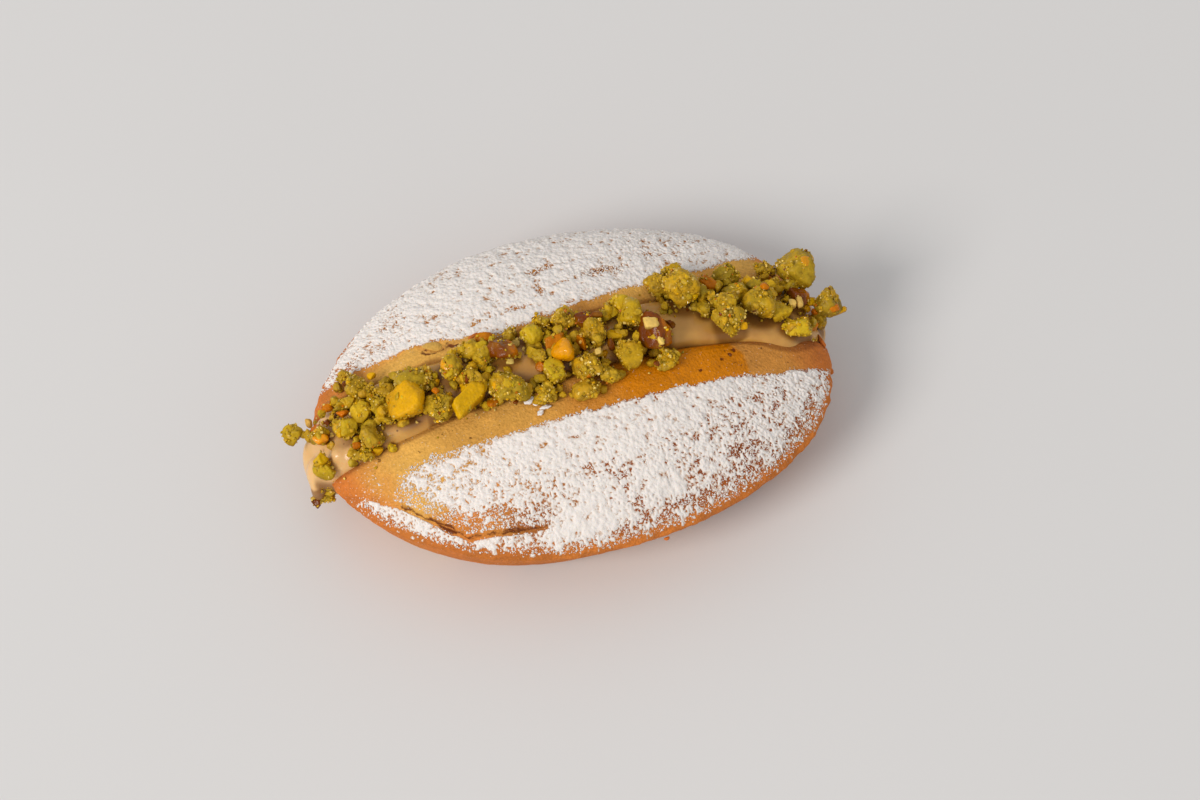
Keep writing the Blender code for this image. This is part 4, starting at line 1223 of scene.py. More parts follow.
# Each kind's lump height in metres, sharpness of its edges, uneven swelling in metres, how thickly crumbs
# cover it, and its shine, which above 0.95 also adds a wet coat.
KINDS = {
    COATED: (0.00042, 22.0, 0.00060, 1.00, 0.62), DEEP: (0.00042, 22.0, 0.00060, 1.00, 0.62),
    GREEN: (0.00022, 22.0, 0.00032, 0.40, 0.70), KERNEL: (0.00010, 26.0, 0.00030, 0.35, 0.55),
    HONEY: (0.00008, 12.0, 0.00020, 0.06, 1.06), TOASTED: (0.00016, 26.0, 0.00024, 0.20, 0.90),
    SKIN: (0.00034, 24.0, 0.00045, 0.14, 1.00), PALE: (0.00008, 30.0, 0.00006, 0.02, 0.40),
}
LUMPS, SHARPNESS, SWELLING, CRUMBS, SHINE = range(5)
# What crumbs are made of: each colour's share.
CRUMB_MIX = ((COATED, 0.56), (DEEP, 0.18), (PALE, 0.17), (KERNEL, 0.06), (TOASTED, 0.02), (SKIN, 0.01))
# Crumbs' sizes over a middling one's: on the nuts, loose, and the least; how unevenly long they are, how
# high loose ones lie over their size, and how many glint and how brightly.
STUCK_SIZES = (0.55, 1.45)
LOOSE_SIZES = (0.6, 2.0)
LEAST_SIZE = 0.5
CRUMB_UNEVEN = (0.7, 1.3)
LOOSE_LIFT = 0.25
GLINTS = 0.22
GLINT_SHINE = 1.25
CRUMB_SHINE = (0.2, 0.9)
CRUMB_BRIGHTNESS = (0.85, 1.25)
# Crumbs on the nuts: the fills get one for so many on the nuts, how far down they go, and the reading of up
# plus half of far above which a kernel has none.
CRUMBS_TO_FILLS = 9
CRUMB_LOWEST = -0.45
KERNEL_TOP = 0.35


def ball_directions(rows, columns):
    """Return directions all round a ball: rows of them between the poles, then the two poles."""
    tilt = (np.pi * (np.arange(rows) + 1) / (rows + 1))[:, None]
    turn = 2 * np.pi * np.arange(columns) / columns
    ring = np.stack([np.sin(tilt) * np.cos(turn), np.sin(tilt) * np.sin(turn), np.cos(tilt) + 0 * turn], -1)
    return np.concatenate([ring.reshape(-1, 3), [[0.0, 0.0, 1.0], [0.0, 0.0, -1.0]]])


def random_turns(count, draw):
    """Return random rotations: the orthogonal part of random matrices, with mirrored ones set right."""
    turns, _ = np.linalg.qr(draw.normal(size=(count, 3, 3)))
    turns[:, :, 2] *= np.sign(np.linalg.det(turns))[:, None]
    return turns


class BrokenPieces:
    """Many broken pieces at once, each a rounded block. The reach in a direction d is (c^p + sum over cuts
    of max(0, d . n)^p)^(-1/p), where each n is a random cut's normal over its depth. The block is turned at
    random, fitted to its box, leaned about the vertical and moved to its centre. A shard has six of its cuts
    on the sides of a skewed box and isn't turned."""

    CUTS = 10
    CUT_DEPTHS = (0.55, 1.0)
    CORE = 0.88
    SHARD_DEPTH = 0.60
    SHARD_SKEW = 0.30
    FITTING_GRID = (8, 12)

    def __init__(self, centres, sizes, draw, lean=None, sharpness=9.0, shards=()):
        count = len(centres)
        self.sharpness = np.broadcast_to(np.asarray(sharpness, dtype=float), count)
        normals = draw.normal(size=(count, self.CUTS, 3))
        normals /= np.linalg.norm(normals, axis=-1, keepdims=True)
        self.cuts = normals / draw.uniform(*self.CUT_DEPTHS, (count, self.CUTS, 1))
        self.turns = random_turns(count, draw)
        shards = list(shards)
        sides = np.concatenate([np.eye(3), -np.eye(3)]) / self.SHARD_DEPTH
        self.cuts[shards, :6] = sides + draw.normal(0, self.SHARD_SKEW, (len(shards), 6, 3))
        self.turns[shards] = np.eye(3)
        self.centres = np.asarray(centres)
        self.halves = np.asarray(sizes) / 2
        lean = draw.uniform(-NUT_LEAN, NUT_LEAN, count) if lean is None else np.asarray(lean)
        self.leans = np.zeros((count, 3, 3))
        self.leans[:, 0, 0] = self.leans[:, 1, 1] = np.cos(lean)
        self.leans[:, 1, 0] = np.sin(lean)
        self.leans[:, 0, 1] = -np.sin(lean)
        self.leans[:, 2, 2] = 1.0
        self.fits = np.ones((count, 3))
        directions = ball_directions(*self.FITTING_GRID)
        every = np.broadcast_to(directions, (count, *directions.shape))
        self.fits = 1.0 / np.abs(self.blocks(every, np.arange(count))).max(1)

    def blocks(self, directions, which):
        """Return the turned and fitted blocks' points in the given directions."""
        facing = np.maximum(np.einsum("nkd,ncd->nkc", directions, self.cuts[which]), 0.0)
        power = self.sharpness[which][:, None]
        reach = (self.CORE ** power + (facing ** power[..., None]).sum(-1)) ** (-1.0 / power)
        turned = np.einsum("nij,nkj->nki", self.turns[which], directions * reach[..., None])
        return turned * self.fits[which][:, None]

    def surface(self, directions, which):
        """Return points on the chosen pieces and the way that the surface faces there, as a ball's would."""
        block = self.blocks(directions, which)
        halves = self.halves[which][:, None]
        outward = np.einsum("nij,nkj->nki", self.leans[which], block / halves)
        outward /= np.linalg.norm(outward, axis=-1, keepdims=True)
        points = np.einsum("nij,nkj->nki", self.leans[which], block * halves)
        return self.centres[which][:, None] + points, outward

    def make(self, name, grid, lumps=None, cell=NUT_LUMP_CELL, swelling=None):
        """Make the pieces as one object, each of a grid's rows and columns of points, swollen unevenly by
        soft noise and with lumps, both of a height for each piece. Return it and its points."""
        count = len(self.centres)
        directions = ball_directions(*grid)
        every = np.broadcast_to(directions, (count, *directions.shape))
        points, outward = self.surface(every, np.arange(count))
        if swelling is not None:
            swell = layered_noise(points, SWELLING_LAYERS, 25) * swelling[:, None]
            points = points + outward * swell[..., None]
        if lumps is not None:
            shape = lump_noise(points, cell, 21) - LUMP_MIDDLE
            points = points + outward * (shape * lumps[:, None])[..., None]
        obj = closed_forms(name, points[:, :-2].reshape(count, *grid, 3), points[:, -2:])
        set_numbers(obj, "upward", outward[..., 2].ravel())
        return obj, points.reshape(-1, 3)


def ridge_centre(x):
    """Return the y of the nuts' middle line, which moves to the far side towards the blunt end."""
    return slit_centre(x) + RIDGE_SHIFT * rise(x, RIDGE_SHIFT_START, RIDGE_SHIFT_START + RIDGE_SHIFT_LENGTH)


def top_height(x, y):
    """Return the height of what nuts lie on: the cream's crown over the slit and the crust beside it."""
    on_cream = np.abs(y - slit_centre(x)) < slit_half_width(x) + CROWN_OVERLAP
    return np.where(on_cream, dome_height(x, slit_centre(x)) + CREAM_CROWN, crust_height(x, y))


def off_bare_cream(x, y):
    """Return which plan places lie outside all the places where the cream is bare."""
    places = np.array(BARE_CREAM) * MM
    return (np.hypot(x[:, None] - places[:, 0], y[:, None] - places[:, 1]) > places[:, 2]).all(1)


def kind_values(kinds, column):
    """Return a column of the table of kinds, for each piece."""
    return np.array([KINDS[kind][column] for kind in kinds])


def nut_colours(looks, kinds, points, per_piece, draw):
    """Return a colour for each point: the kind's colour, lighter or darker for each piece, yellower in
    patches, darker olive green with painted shade in the hollows between lumps, both more so on coated
    nuts, and on skins bare flesh at one side."""
    base = np.array([tuple(getattr(looks, kind)) for kind in kinds])
    spread = np.array([0.05 if kind == KERNEL else 0.16 for kind in kinds])[:, None]
    base = base * (1 + spread * draw.uniform(-1, 1, (len(kinds), 1)))
    colours = np.repeat(base * draw.uniform(0.94, 1.06, base.shape), per_piece, axis=0)
    coated, skins = (np.repeat(np.array([kind in wanted for kind in kinds]), per_piece)
                     for wanted in ((COATED, DEEP), (SKIN,)))
    patch = rise(soft_noise(points, 0.0024, 16), 0.05, 0.6) * np.where(coated, 0.45, 0.12)
    # Darker olive green with painted shade in the hollows between lumps, more on coated nuts.
    hollow = (1 - rise(lump_noise(points, NUT_LUMP_CELL, 21), 0.15, 0.5)) * np.where(coated, 0.60, 0.15)
    from_middle = points[:, 0] - np.repeat(points[:, 0].reshape(-1, per_piece).mean(1), per_piece)
    bare = rise(from_middle + 0.0008 * soft_noise(points, 0.0016, 27), 0.0010, 0.0020) * skins
    for amount, name in ((patch, "kernel"), (hollow, "olive_and_shade"), (0.85 * bare, "toasted")):
        colours += amount[:, None] * (np.array(tuple(getattr(looks, name))) - colours)
    return np.clip(colours, 0.0, 1.0)


def nut_material(looks):
    """The stored colour with fine grain and paler crumbly specks, and a shine stored for each nut: the
    shiniest have a wet coat too."""
    material, shade, shader = new_material("pistachio_nut", {
        "Subsurface Weight": 0.08, "Subsurface Scale": 0.0006, "Subsurface Radius": (1.0, 0.7, 0.2),
        "Specular IOR Level": 0.14, "Coat Roughness": 0.08})
    grain = shade.noise(0.00045, 3.0)
    cloud = shade.noise(0.0016, 3.0)
    crumbly = shade.cells(0.00070)
    tint = shade.mix(1.0, shade.colour("tint"), 0.72 + 0.56 * cloud, "MULTIPLY")
    tint = shade.mix(1.0, tint, 0.80 + 0.40 * grain, "MULTIPLY")
    # Painted shade: the nuts' undersides, which face down and away from the light, are darkened.
    under = 1.0 - shade.number("upward").step(-0.75, 0.45)
    tint = shade.mix(under * 0.88, tint, shade.mix(1.0, tint, opaque(looks.underside_shade), "MULTIPLY"))
    pale = (0.30 - crumbly).step(0.0, 0.20) * (1.0 - shade.number("shine")) * 0.30
    tint = shade.mix(pale, tint, opaque(looks.pale))
    roughness = (0.62 - 0.42 * shade.number("shine") + 0.36 * (grain - 0.5)).held()
    height = grain * 0.7 + (1.0 - crumbly) * 0.8
    connect(material, shader, {"Base Color": tint, "Roughness": roughness,
                               "Coat Weight": shade.number("shine").step(0.95, 1.25),
                               "Normal": shade.bump(height, 0.45, 0.00030)})
    return material


def nut_pieces(rows, draw, shapes=(), shards=()):
    """Return the broken pieces of a table in millimetres, and their kinds. Rows named in shapes have their
    own lean and sharpness, and those in shards are flat-sided."""
    values = np.array([row[:5] for row in rows]) * MM
    sizes = np.stack([values[:, 3], values[:, 4], values[:, 4] * NUT_FLATNESS], axis=1)
    for row in shards:
        sizes[row, 2] = NUT_FLATNESS * min(sizes[row, :2])
    kinds = [row[5] for row in rows]
    lean = draw.uniform(-NUT_LEAN, NUT_LEAN, len(rows))
    sharpness = kind_values(kinds, SHARPNESS)
    for row, own_lean, own_sharpness in shapes:
        lean[row], sharpness[row] = own_lean, own_sharpness
    return BrokenPieces(values[:, :3], sizes, draw, lean, sharpness, shards), kinds


def make_nuts(name, pieces, kinds, grid, draw, lumps=1.0, swelling=False):
    """Make pieces of nut as one object: lumps, swelling, colours and shine follow their kinds."""
    looks = bpy.context.scene.nut_looks
    swelling = kind_values(kinds, SWELLING) if swelling else None
    obj, points = pieces.make(name, grid, lumps * kind_values(kinds, LUMPS), swelling=swelling)
    per_piece = len(points) // len(kinds)
    set_colours(obj, "tint", nut_colours(looks, kinds, points, per_piece, draw))
    set_numbers(obj, "shine", np.repeat(kind_values(kinds, SHINE), per_piece))
    return dress(obj, bpy.data.materials.get("pistachio_nut") or nut_material(looks), "pistachio")


class MakeNuts(bpy.types.Operator):
    """Make the broken pistachios, those that fill in between, the chips on them and the small bits"""

    bl_idname = "pasticciotto.make_nuts"
    bl_label = "Pistachios"

    def execute(self, context):
        draw = np.random.default_rng(NUT_SEED)
        nuts, kinds = nut_pieces(NUTS, draw, NUT_SHAPES, NUT_SHARDS)
        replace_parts(make_nuts("pistachio_nuts", nuts, kinds, NUT_GRID, draw, swelling=True), "pistachios")
        fills = nut_pieces(FILLS, np.random.default_rng(NUT_SEED + 1))
        make_nuts("pistachio_fills", *fills, FILL_GRID, np.random.default_rng(NUT_SEED + 2), swelling=True)
        chips = nut_pieces(CHIPS, draw, shards=CHIP_SHARDS)
        make_nuts("pistachio_chips", *chips, CHIP_GRID, draw, CHIP_LUMPS)
        centres, sizes, bit_kinds = small_bits(nuts, kinds, np.random.default_rng(BIT_SEED))
        bits = BrokenPieces(centres, sizes, draw, sharpness=BIT_SHARPNESS)
        make_nuts("pistachio_bits", bits, bit_kinds, BIT_GRID, draw, BIT_LUMPS).data.shade_flat()
        return {"FINISHED"}


def link_places(nuts, draw):
    """Return places at even steps from the middle line straight to each nut, a little scattered."""
    middle_x = np.clip(LINK_START_SHARE * nuts[:, 0], -LINK_REACH, LINK_REACH)
    middle_y = ridge_centre(middle_x)
    middle = np.stack([middle_x, middle_y, top_height(middle_x, middle_y)], axis=1)
    steps = (np.linalg.norm(nuts[:, :3] - middle, axis=1) / LINK_SPACING).astype(int)
    owner = np.repeat(np.arange(len(nuts)), steps)
    step = np.arange(len(owner)) - np.repeat(np.cumsum(steps) - steps, steps) + 1
    links = middle[owner] + (nuts[owner, :3] - middle[owner]) * step[:, None] / (steps[owner] + 1)[:, None]
    links = links + draw.normal(0, LINK_SCATTER, (len(links), 3))
    return links[off_bare_cream(links[:, 0], links[:, 1])]


def foot_places(nuts, draw):
    """Return places and sizes of bits at the feet of the nuts: random turns round each nut, on what it lies
    on, but none outside the line of nuts, by the rim or on bare cream."""
    owner = np.repeat(np.arange(len(nuts)), FEET)
    turn = draw.uniform(0, 2 * np.pi, len(owner))
    x = nuts[owner, 0] + FOOT_REACH[0] * nuts[owner, 3] * np.cos(turn)
    y = nuts[owner, 1] + FOOT_REACH[1] * nuts[owner, 4] * np.sin(turn)
    size = draw.uniform(*FOOT_SIZES, len(owner))
    z = top_height(x, y) + draw.uniform(*FOOT_LIFT, len(owner)) * size
    inward = np.abs(y - ridge_centre(x)) < np.abs(nuts[owner, 1] - ridge_centre(x)) + FOOT_OUTER
    kept = (rim_share(x, y) < FOOT_RIM_SHARE) & inward & off_bare_cream(x, y)
    return np.stack([x, y, z], axis=1)[kept], size[kept]


def places_on(pieces, weight, count, draw):
    """Return random places on pieces, the way that the surface faces there, and which piece each is on. A
    piece has more of them the heavier it weighs."""
    which = draw.choice(len(weight), count, p=weight / weight.sum())
    directions = draw.normal(size=(count, 1, 3))
    points, outward = pieces.surface(directions / np.linalg.norm(directions, axis=-1, keepdims=True), which)
    return points[:, 0], outward[:, 0], which


def crumb_weight(pieces, kinds):
    """Return how many crumbs each piece takes: with its length, its thickness and how coated it is."""
    return pieces.halves[:, 0] * pieces.halves[:, 1] * kind_values(kinds, CRUMBS)


def small_bits(pieces, nut_kinds, draw):
    """Return centres, sizes and kinds of the bits that lead to each nut, of those at the nuts' feet, and of
    the knobs on the larger nuts."""
    nuts = np.array([row[:5] for row in NUTS]) * MM
    links = link_places(nuts, draw)
    feet, foot_size = foot_places(nuts, draw)
    weight = crumb_weight(pieces, nut_kinds) * (pieces.halves[:, 0] > KNOB_NUT)
    points, outward, _ = places_on(pieces, weight, KNOBS, draw)
    knob_size = draw.uniform(*KNOB_SIZES, KNOBS)
    knobs = points - outward * KNOB_DEPTH * knob_size[:, None]
    upper = outward[:, 2] > KNOB_LOWEST
    centres = np.concatenate([links, feet, knobs[upper]])
    sizes = np.concatenate([draw.uniform(*LINK_SIZES, len(links)), foot_size, knob_size[upper]])
    sizes = sizes[:, None] * draw.uniform(0.75, 1.25, (len(sizes), 3))
    names, shares = zip(*BIT_MIX)
    return centres, sizes, list(draw.choice(names, len(centres), p=shares))


def stuck_crumbs(pieces, kinds, count, draw):
    """Return places on the upper sides of nuts, more of them on larger and on coated nuts, and none on the
    tops of kernels."""
    points, outward, which = places_on(pieces, crumb_weight(pieces, kinds), count, draw)
    kernels = np.array([kind == KERNEL for kind in kinds])[which]
    on_top = outward[:, 2] + 0.5 * outward[:, 1] > KERNEL_TOP
    lift = kind_values(kinds, LUMPS)[which] * (lump_noise(points, NUT_LUMP_CELL, 21) - LUMP_MIDDLE)
    return (points + outward * lift[:, None])[(outward[:, 2] > CRUMB_LOWEST) & ~(kernels & on_top)]


def crumb_places(looks, draw):
    """Return the crumbs' centres and sizes: first those on the nuts, then the loose ones, which lie
    scattered across the middle line, near a nut and not on bare cream."""
    nuts, kinds = nut_pieces(NUTS, np.random.default_rng(NUT_SEED), NUT_SHAPES, NUT_SHARDS)
    fills, fill_kinds = nut_pieces(FILLS, np.random.default_rng(NUT_SEED + 1))
    stuck = np.concatenate([stuck_crumbs(nuts, kinds, looks.crumbs, draw),
                            stuck_crumbs(fills, fill_kinds, looks.crumbs // CRUMBS_TO_FILLS, draw)])
    x = draw.uniform(-LOOSE_REACH, LOOSE_REACH, looks.loose_crumbs)
    y = ridge_centre(x) + draw.normal(0, LOOSE_SPREAD, looks.loose_crumbs)
    size = np.concatenate([draw.uniform(*STUCK_SIZES, len(stuck)),
                           draw.uniform(*LOOSE_SIZES, len(x)) * rise(draw.uniform(0, 1, len(x)), 0, 0.5)])
    size = looks.crumb * np.maximum(size, LEAST_SIZE)
    loose = np.stack([x, y, top_height(x, y) + LOOSE_LIFT * size[len(stuck):]], axis=1)
    from_nut = np.linalg.norm(loose[:, None, :2] - nuts.centres[:, :2], axis=-1).min(1)
    kept = np.concatenate([np.ones(len(stuck), bool), (from_nut <= LOOSE_FROM_NUT) & off_bare_cream(x, y)])
    sizes = size[kept][:, None] * draw.uniform(*CRUMB_UNEVEN, (kept.sum(), 3))
    return np.concatenate([stuck, loose])[kept], sizes


class MakeCrumbs(bpy.types.Operator):
    """Make the crumbs that stick to the nuts and lie between them"""

    bl_idname = "pasticciotto.make_crumbs"
    bl_label = "Pistachio crumbs"

    def execute(self, context):
        looks = context.scene.nut_looks
        draw = np.random.default_rng(CRUMB_SEED)
        centres, sizes = crumb_places(looks, draw)
        count = len(centres)
        obj, points = BrokenPieces(centres, sizes, draw).make("pistachio_crumbs", CRUMB_GRID)
        obj.data.shade_flat()
        names, shares = zip(*CRUMB_MIX)
        colours = np.array([tuple(getattr(looks, name)) for name in names])
        tint = colours[draw.choice(len(names), count, p=shares)] * draw.uniform(*CRUMB_BRIGHTNESS, (count, 1))
        per_piece = len(points) // count
        set_colours(obj, "tint", np.repeat(np.clip(tint, 0, 1), per_piece, axis=0))
        glints = draw.uniform(0, 1, count) < GLINTS
        shine = np.where(glints, GLINT_SHINE, draw.uniform(*CRUMB_SHINE, count))
        set_numbers(obj, "shine", np.repeat(shine, per_piece))
        dress(obj, bpy.data.materials["pistachio_nut"], "pistachio")
        return {"FINISHED"}


# ---- icing sugar ----

class SugarLooks(bpy.types.PropertyGroup):
    """Colour and amount of the icing sugar."""

    white: colour_prop("White", "The sugar's colour", tone(236, 227, 220))
    thin: colour_prop("Thin", "The sugar where it lies thin", tone(196, 160, 130))
    thickness: length_prop(
        "Thickness", "Greatest thickness of the sifted sugar between its heaps", 0.00034, 0.0001, 0.001)
    grain: length_prop("Grain", "Size of the smallest stray grains", 0.00020, 0.0001, 0.001)
    grains: count_prop("Grains", "Single grains and clots around the fields", 22000)


# Bare patches in the sugar, in millimetres: x, y, reach along x and y, and how much sugar is missing.
SUGAR_GAPS = (
    (12.0, 19.3, 4.0, 1.2, 1.0), (-1.6, 22.9, 1.8, 0.9, 0.85), (-2.0, 18.6, 0.7, 2.8, 0.80),
    (-9.0, 13.8, 3.2, 0.7, 0.62), (-17.0, 12.9, 2.2, 0.8, 0.62), (22.3, 22.2, 1.6, 1.0, 0.72),
    (1.4, 23.9, 1.4, 0.7, 0.80), (-33.4, 22.0, 2.4, 4.0, 0.42), (-38.1, 15.4, 3.2, 1.8, 0.45),
    (5.9, 18.4, 1.4, 0.6, 0.75), (28.6, -26.6, 2.4, 1.6, 0.60), (33.0, -25.4, 4.4, 0.7, 0.62),
    (18.1, -26.9, 3.0, 2.4, 0.30), (41.1, -14.6, 1.2, 1.8, 0.50), (33.5, -16.4, 3.4, 0.9, 0.42),
    (38.6, -19.0, 1.0, 3.2, 0.40), (24.0, -21.5, 1.0, 2.2, 0.30), (46.7, -18.3, 2.0, 4.0, 0.34),
    (-24.0, -20.0, 6.0, 3.0, 0.18), (-8.0, -26.0, 7.0, 3.5, 0.27), (4.0, -32.0, 5.0, 2.2, 0.24),
    (-33.0, -18.0, 3.5, 3.0, 0.20), (2.0, -27.0, 5.0, 3.0, 0.20), (14.0, -24.0, 6.0, 3.0, 0.20),
    (-22.0, -23.0, 9.0, 4.0, 0.20), (29.0, -22.0, 8.0, 5.0, 0.19), (26.0, 26.0, 10.0, 3.0, 0.22),
    (-44.0, 14.5, 4.0, 3.0, 0.34), (-50.0, 10.0, 3.0, 3.0, 0.45),
)
# The lifted edge above the crack is nearly bare: points in plan of its middle, and its half width.
BARE_ROUTE = ((-0.0425, -0.0170), (-0.0380, -0.0205), (-0.0320, -0.0262), (-0.0265, -0.0287),
              (-0.0200, -0.0293), (-0.0130, -0.0312))
BARE_HALF_WIDTH = 0.0020


def sugar_edge(x, near):
    """Return how far from the slit's middle line the sugar starts, straight between the named places."""
    edge_x, edge = np.array(NEAR_SUGAR_EDGE if near else FAR_SUGAR_EDGE, dtype=float).T * MM
    return np.interp(x, edge_x, edge)


def near_cover(x, y, cover):
    """Return the near field's cover: sparse towards the rim, most widely to the right of the middle, cut off
    aslant at the pointed end, nearly bare on the lifted edge, and lying on the ledge below the crack."""
    share = rim_share(x, y)
    thin = np.exp(-((x - 0.022) / 0.024) ** 2)
    sparse = rise(share, 0.945 - 0.095 * thin, 0.985 - 0.055 * thin) * rise(x, -0.016, -0.006)
    sparse = sparse * (0.50 - 0.30 * rise(x, 0.042, 0.052))
    cover = cover * (1 - sparse) * (1 - rise(share, 0.964 - 0.012 * thin, 0.998))
    corner = (x + 0.0400) * 0.75 - (y + 0.0160) * 0.66
    cover = cover * rise(corner + 0.0006 * soft_noise(plan_points(x, y), 0.002, 18), -0.0008, 0.0014)
    from_bare = np.abs(route_reading(x, y, BARE_ROUTE)[0])
    bare = 1 - rise(from_bare, BARE_HALF_WIDTH * 0.4, BARE_HALF_WIDTH * 1.9)
    cover = cover * (1 - (0.80 - 0.45 * rise(x, -0.025, -0.013)) * bare)
    distance = route_reading(x, y, CRACK_ROUTE)[0]
    ledge = rise(distance, 0.0002, 0.0005) * rise(x, -0.0480, -0.0463)
    ledge = ledge * (1 - rise(share, 0.955, 0.995)) * (1 - 0.45 * rise(distance, 0.0018, 0.0032))
    below = rise(distance, -0.0002, 0.0002) * (1 - rise(x, -0.0150, -0.0107))
    return cover + (0.78 * ledge - cover) * below


def far_cover(x, y, cover):
    """Return the far field's cover: sparse towards the rim and at both ends."""
    cover = cover * (1 - 0.75 * rise(rim_share(x, y), 0.965, 1.0)) * (1 - rise(x, 0.0425, 0.0490))
    return cover * (1 - 0.4 * rise(-x, 0.044, 0.054))


def sugar_cover(x, y, near):
    """Return how thickly sugar was sifted, from 0 to 1: full inside the field's inner edge, past a fringe
    that is wider at the near field's pointed end, sparse where its own field is, and less in each gap."""
    beside = y - slit_centre(x)
    inside = (-beside if near else beside) - sugar_edge(x, near)
    inside = inside + 0.0004 * soft_noise(plan_points(x, y), 0.0019, 17)
    fringe = 0.0004 + 0.0011 * (1 - rise(x, -0.036, -0.014)) * near
    cover = (near_cover if near else far_cover)(x, y, rise(inside, -fringe, fringe))
    for *place, missing in SUGAR_GAPS:
        cover = cover * (1 - missing * plan_bell(x, y, *place))
    return cover


def sugar_depth(x, y, near):
    """Return how far the sugar's skin lies above the crust, below it where there is none: the cover less the
    clots' noise, scaled, with soft heaps where the cover is full, and kept between the dip and a heap more
    than the sugar's thickness."""
    place = plan_points(x, y)
    cover = sugar_cover(x, y, near)
    clots = layered_noise(place, CLOTS, 19) * (1 - CLOTS_CALMED * rise(cover, 0.85, 1.0))
    heaps = SUGAR_HEAPS * layered_noise(place, HEAP_LAYERS, 31) * rise(cover, 0.75, 1.0)
    depth = (SUGAR_FULL * cover - SUGAR_OFF - clots) * SUGAR_CLOTTING + heaps
    return np.clip(depth, -SUGAR_DIP, bpy.context.scene.sugar_looks.thickness + SUGAR_HEAPS)


def on_both_sides(reading, x, y):
    """Return a reading of the near field on the near side of the slit, and of the far field on the other."""
    return np.where(y < slit_centre(x), reading(x, y, True), reading(x, y, False))


def sugar_field(name, near, looks):
    """Make one field: at stations round the rim a straight run in plan from just inside the field's inner
    edge to the rim, laid on the crust and moved out by the sugar's depth, pulled down where the crack gapes,
    and closed by a few points well inside the crust."""
    side = -1.0 if near else 1.0
    reach = NEAR_SUGAR_REACH if near else FAR_SUGAR_REACH
    rim_x, rim_y = rim_points(side * np.radians(np.linspace(*reach, SUGAR_STATIONS)))
    inner_x = SUGAR_INNER_SHARE * rim_x
    inner_y = slit_centre(inner_x) + side * (sugar_edge(inner_x, near) - SUGAR_INNER_SPARE)
    share = np.linspace(0, 1, SUGAR_POINTS)
    x = inner_x[:, None] + (SUGAR_OUTER_SHARE * rim_x - inner_x)[:, None] * share
    y = inner_y[:, None] + (SUGAR_OUTER_SHARE * rim_y - inner_y)[:, None] * share
    skin = np.stack([x, y, crust_height(x, y)], axis=-1)
    normal = surface_normals(np.stack([x, y, dome_height(x, y)], axis=-1))
    depth = sugar_depth(x, y, near)
    skin = skin + normal * (crust_relief(skin) + depth)[..., None]
    distance, travelled = route_reading(x, y, CRACK_ROUTE)
    gap = crack_gap(travelled)
    parted = rise(gap, *CRACK_PARTS_SUGAR) * (1 - rise(np.abs(distance), gap, gap + CRACK_SUGAR_EDGE))
    skin[..., 2] -= CRACK_CLEARANCE * parted * (travelled < 1)
    skin = swollen(skin)
    under = np.stack([skin[:, -1] * 0.98 - (0, 0, 0.0012), skin[:, SUGAR_POINTS // 2] - (0, 0, 0.0025),
                      skin[:, 0] - (0, 0, 0.0015)], axis=1)
    field = closed_tube(name, np.concatenate([skin, under], axis=1))
    thickness = np.pad(depth / looks.thickness, ((0, 0), (0, under.shape[1])))
    set_numbers(field, "thickness", np.concatenate([thickness.ravel(), [0.0, 0.0]]))
    return field


def sugar_material(looks):
    """Powdery white, browner where it lies thin, with a fine dry grain."""
    material, shade, shader = new_material("icing_sugar", {
        "Subsurface Weight": 0.15, "Subsurface Scale": 0.0006, "Subsurface Radius": (1.0, 0.8, 0.6),
        "Specular IOR Level": 0.25})
    cloud = shade.noise(0.0022, 4.0)
    grain = shade.noise(0.00035, 3.0)
    thick = (shade.number("thickness") + (grain - 0.5) * 0.5 + (cloud - 0.5) * 0.3).step(-0.05, 0.36)
    tint = shade.mix(thick, opaque(looks.thin), opaque(looks.white))
    connect(material, shader, {"Base Color": tint, "Roughness": 0.84 + 0.1 * grain,
                               "Normal": shade.bump(grain + cloud * 0.5, 0.5, 0.00030)})
    return material


# Lumps of sugar that fell beside the nuts, in millimetres: x, y, z, length along x, width, thickness.
SUGAR_LUMPS = ((-10.8, -9.2, 34.1, 2.6, 1.7, 0.9), (-9.5, -10.1, 33.7, 2.4, 1.3, 0.8),
               (-7.9, -11.2, 33.3, 2.8, 1.0, 0.6), (-9.2, -12.0, 33.0, 1.5, 1.1, 0.5),
               (10.2, -13.6, 32.2, 0.8, 0.6, 0.4))
SUGAR_LUMP_RELIEF = 0.0003
SUGAR_LUMP_CELL = 0.0006
# So many places are tried for each grain.
GRAIN_TRIES = 8


def grain_places(looks, draw):
    """Return centres and sizes of the stray grains, most of them small. Places are tried at random, and kept
    more often where sugar was sifted but the cover isn't full, and only where the field's skin isn't above
    the crust, off the rim and off the crack."""
    x = draw.uniform(-HALF_LENGTH, HALF_LENGTH, GRAIN_TRIES * looks.grains)
    y = draw.uniform(-HALF_WIDTH, HALF_WIDTH, GRAIN_TRIES * looks.grains)
    cover = on_both_sides(sugar_cover, x, y)
    wanted = draw.uniform(0, 1, len(x)) < 1.9 * cover ** 0.6 * (1.02 - cover)
    wanted &= on_both_sides(sugar_depth, x, y) < 0.1 * looks.thickness
    wanted &= rim_share(x, y) < GRAIN_RIM_SHARE
    distance, travelled = route_reading(x, y, CRACK_ROUTE)
    wanted &= (np.abs(distance) > GRAIN_CRACK_CLEARANCE) | (travelled > 0.97)
    x, y = x[wanted][:looks.grains], y[wanted][:looks.grains]
    centres = swollen(np.stack([x, y, crust_height(x, y)], axis=1))
    centres[:, 2] += crust_relief(centres)
    sizes = looks.grain * (1.0 + 2.75 * draw.uniform(0, 1, (len(x), 1)) ** 3)
    return centres, sizes * draw.uniform(0.7, 1.3, (len(x), 3))


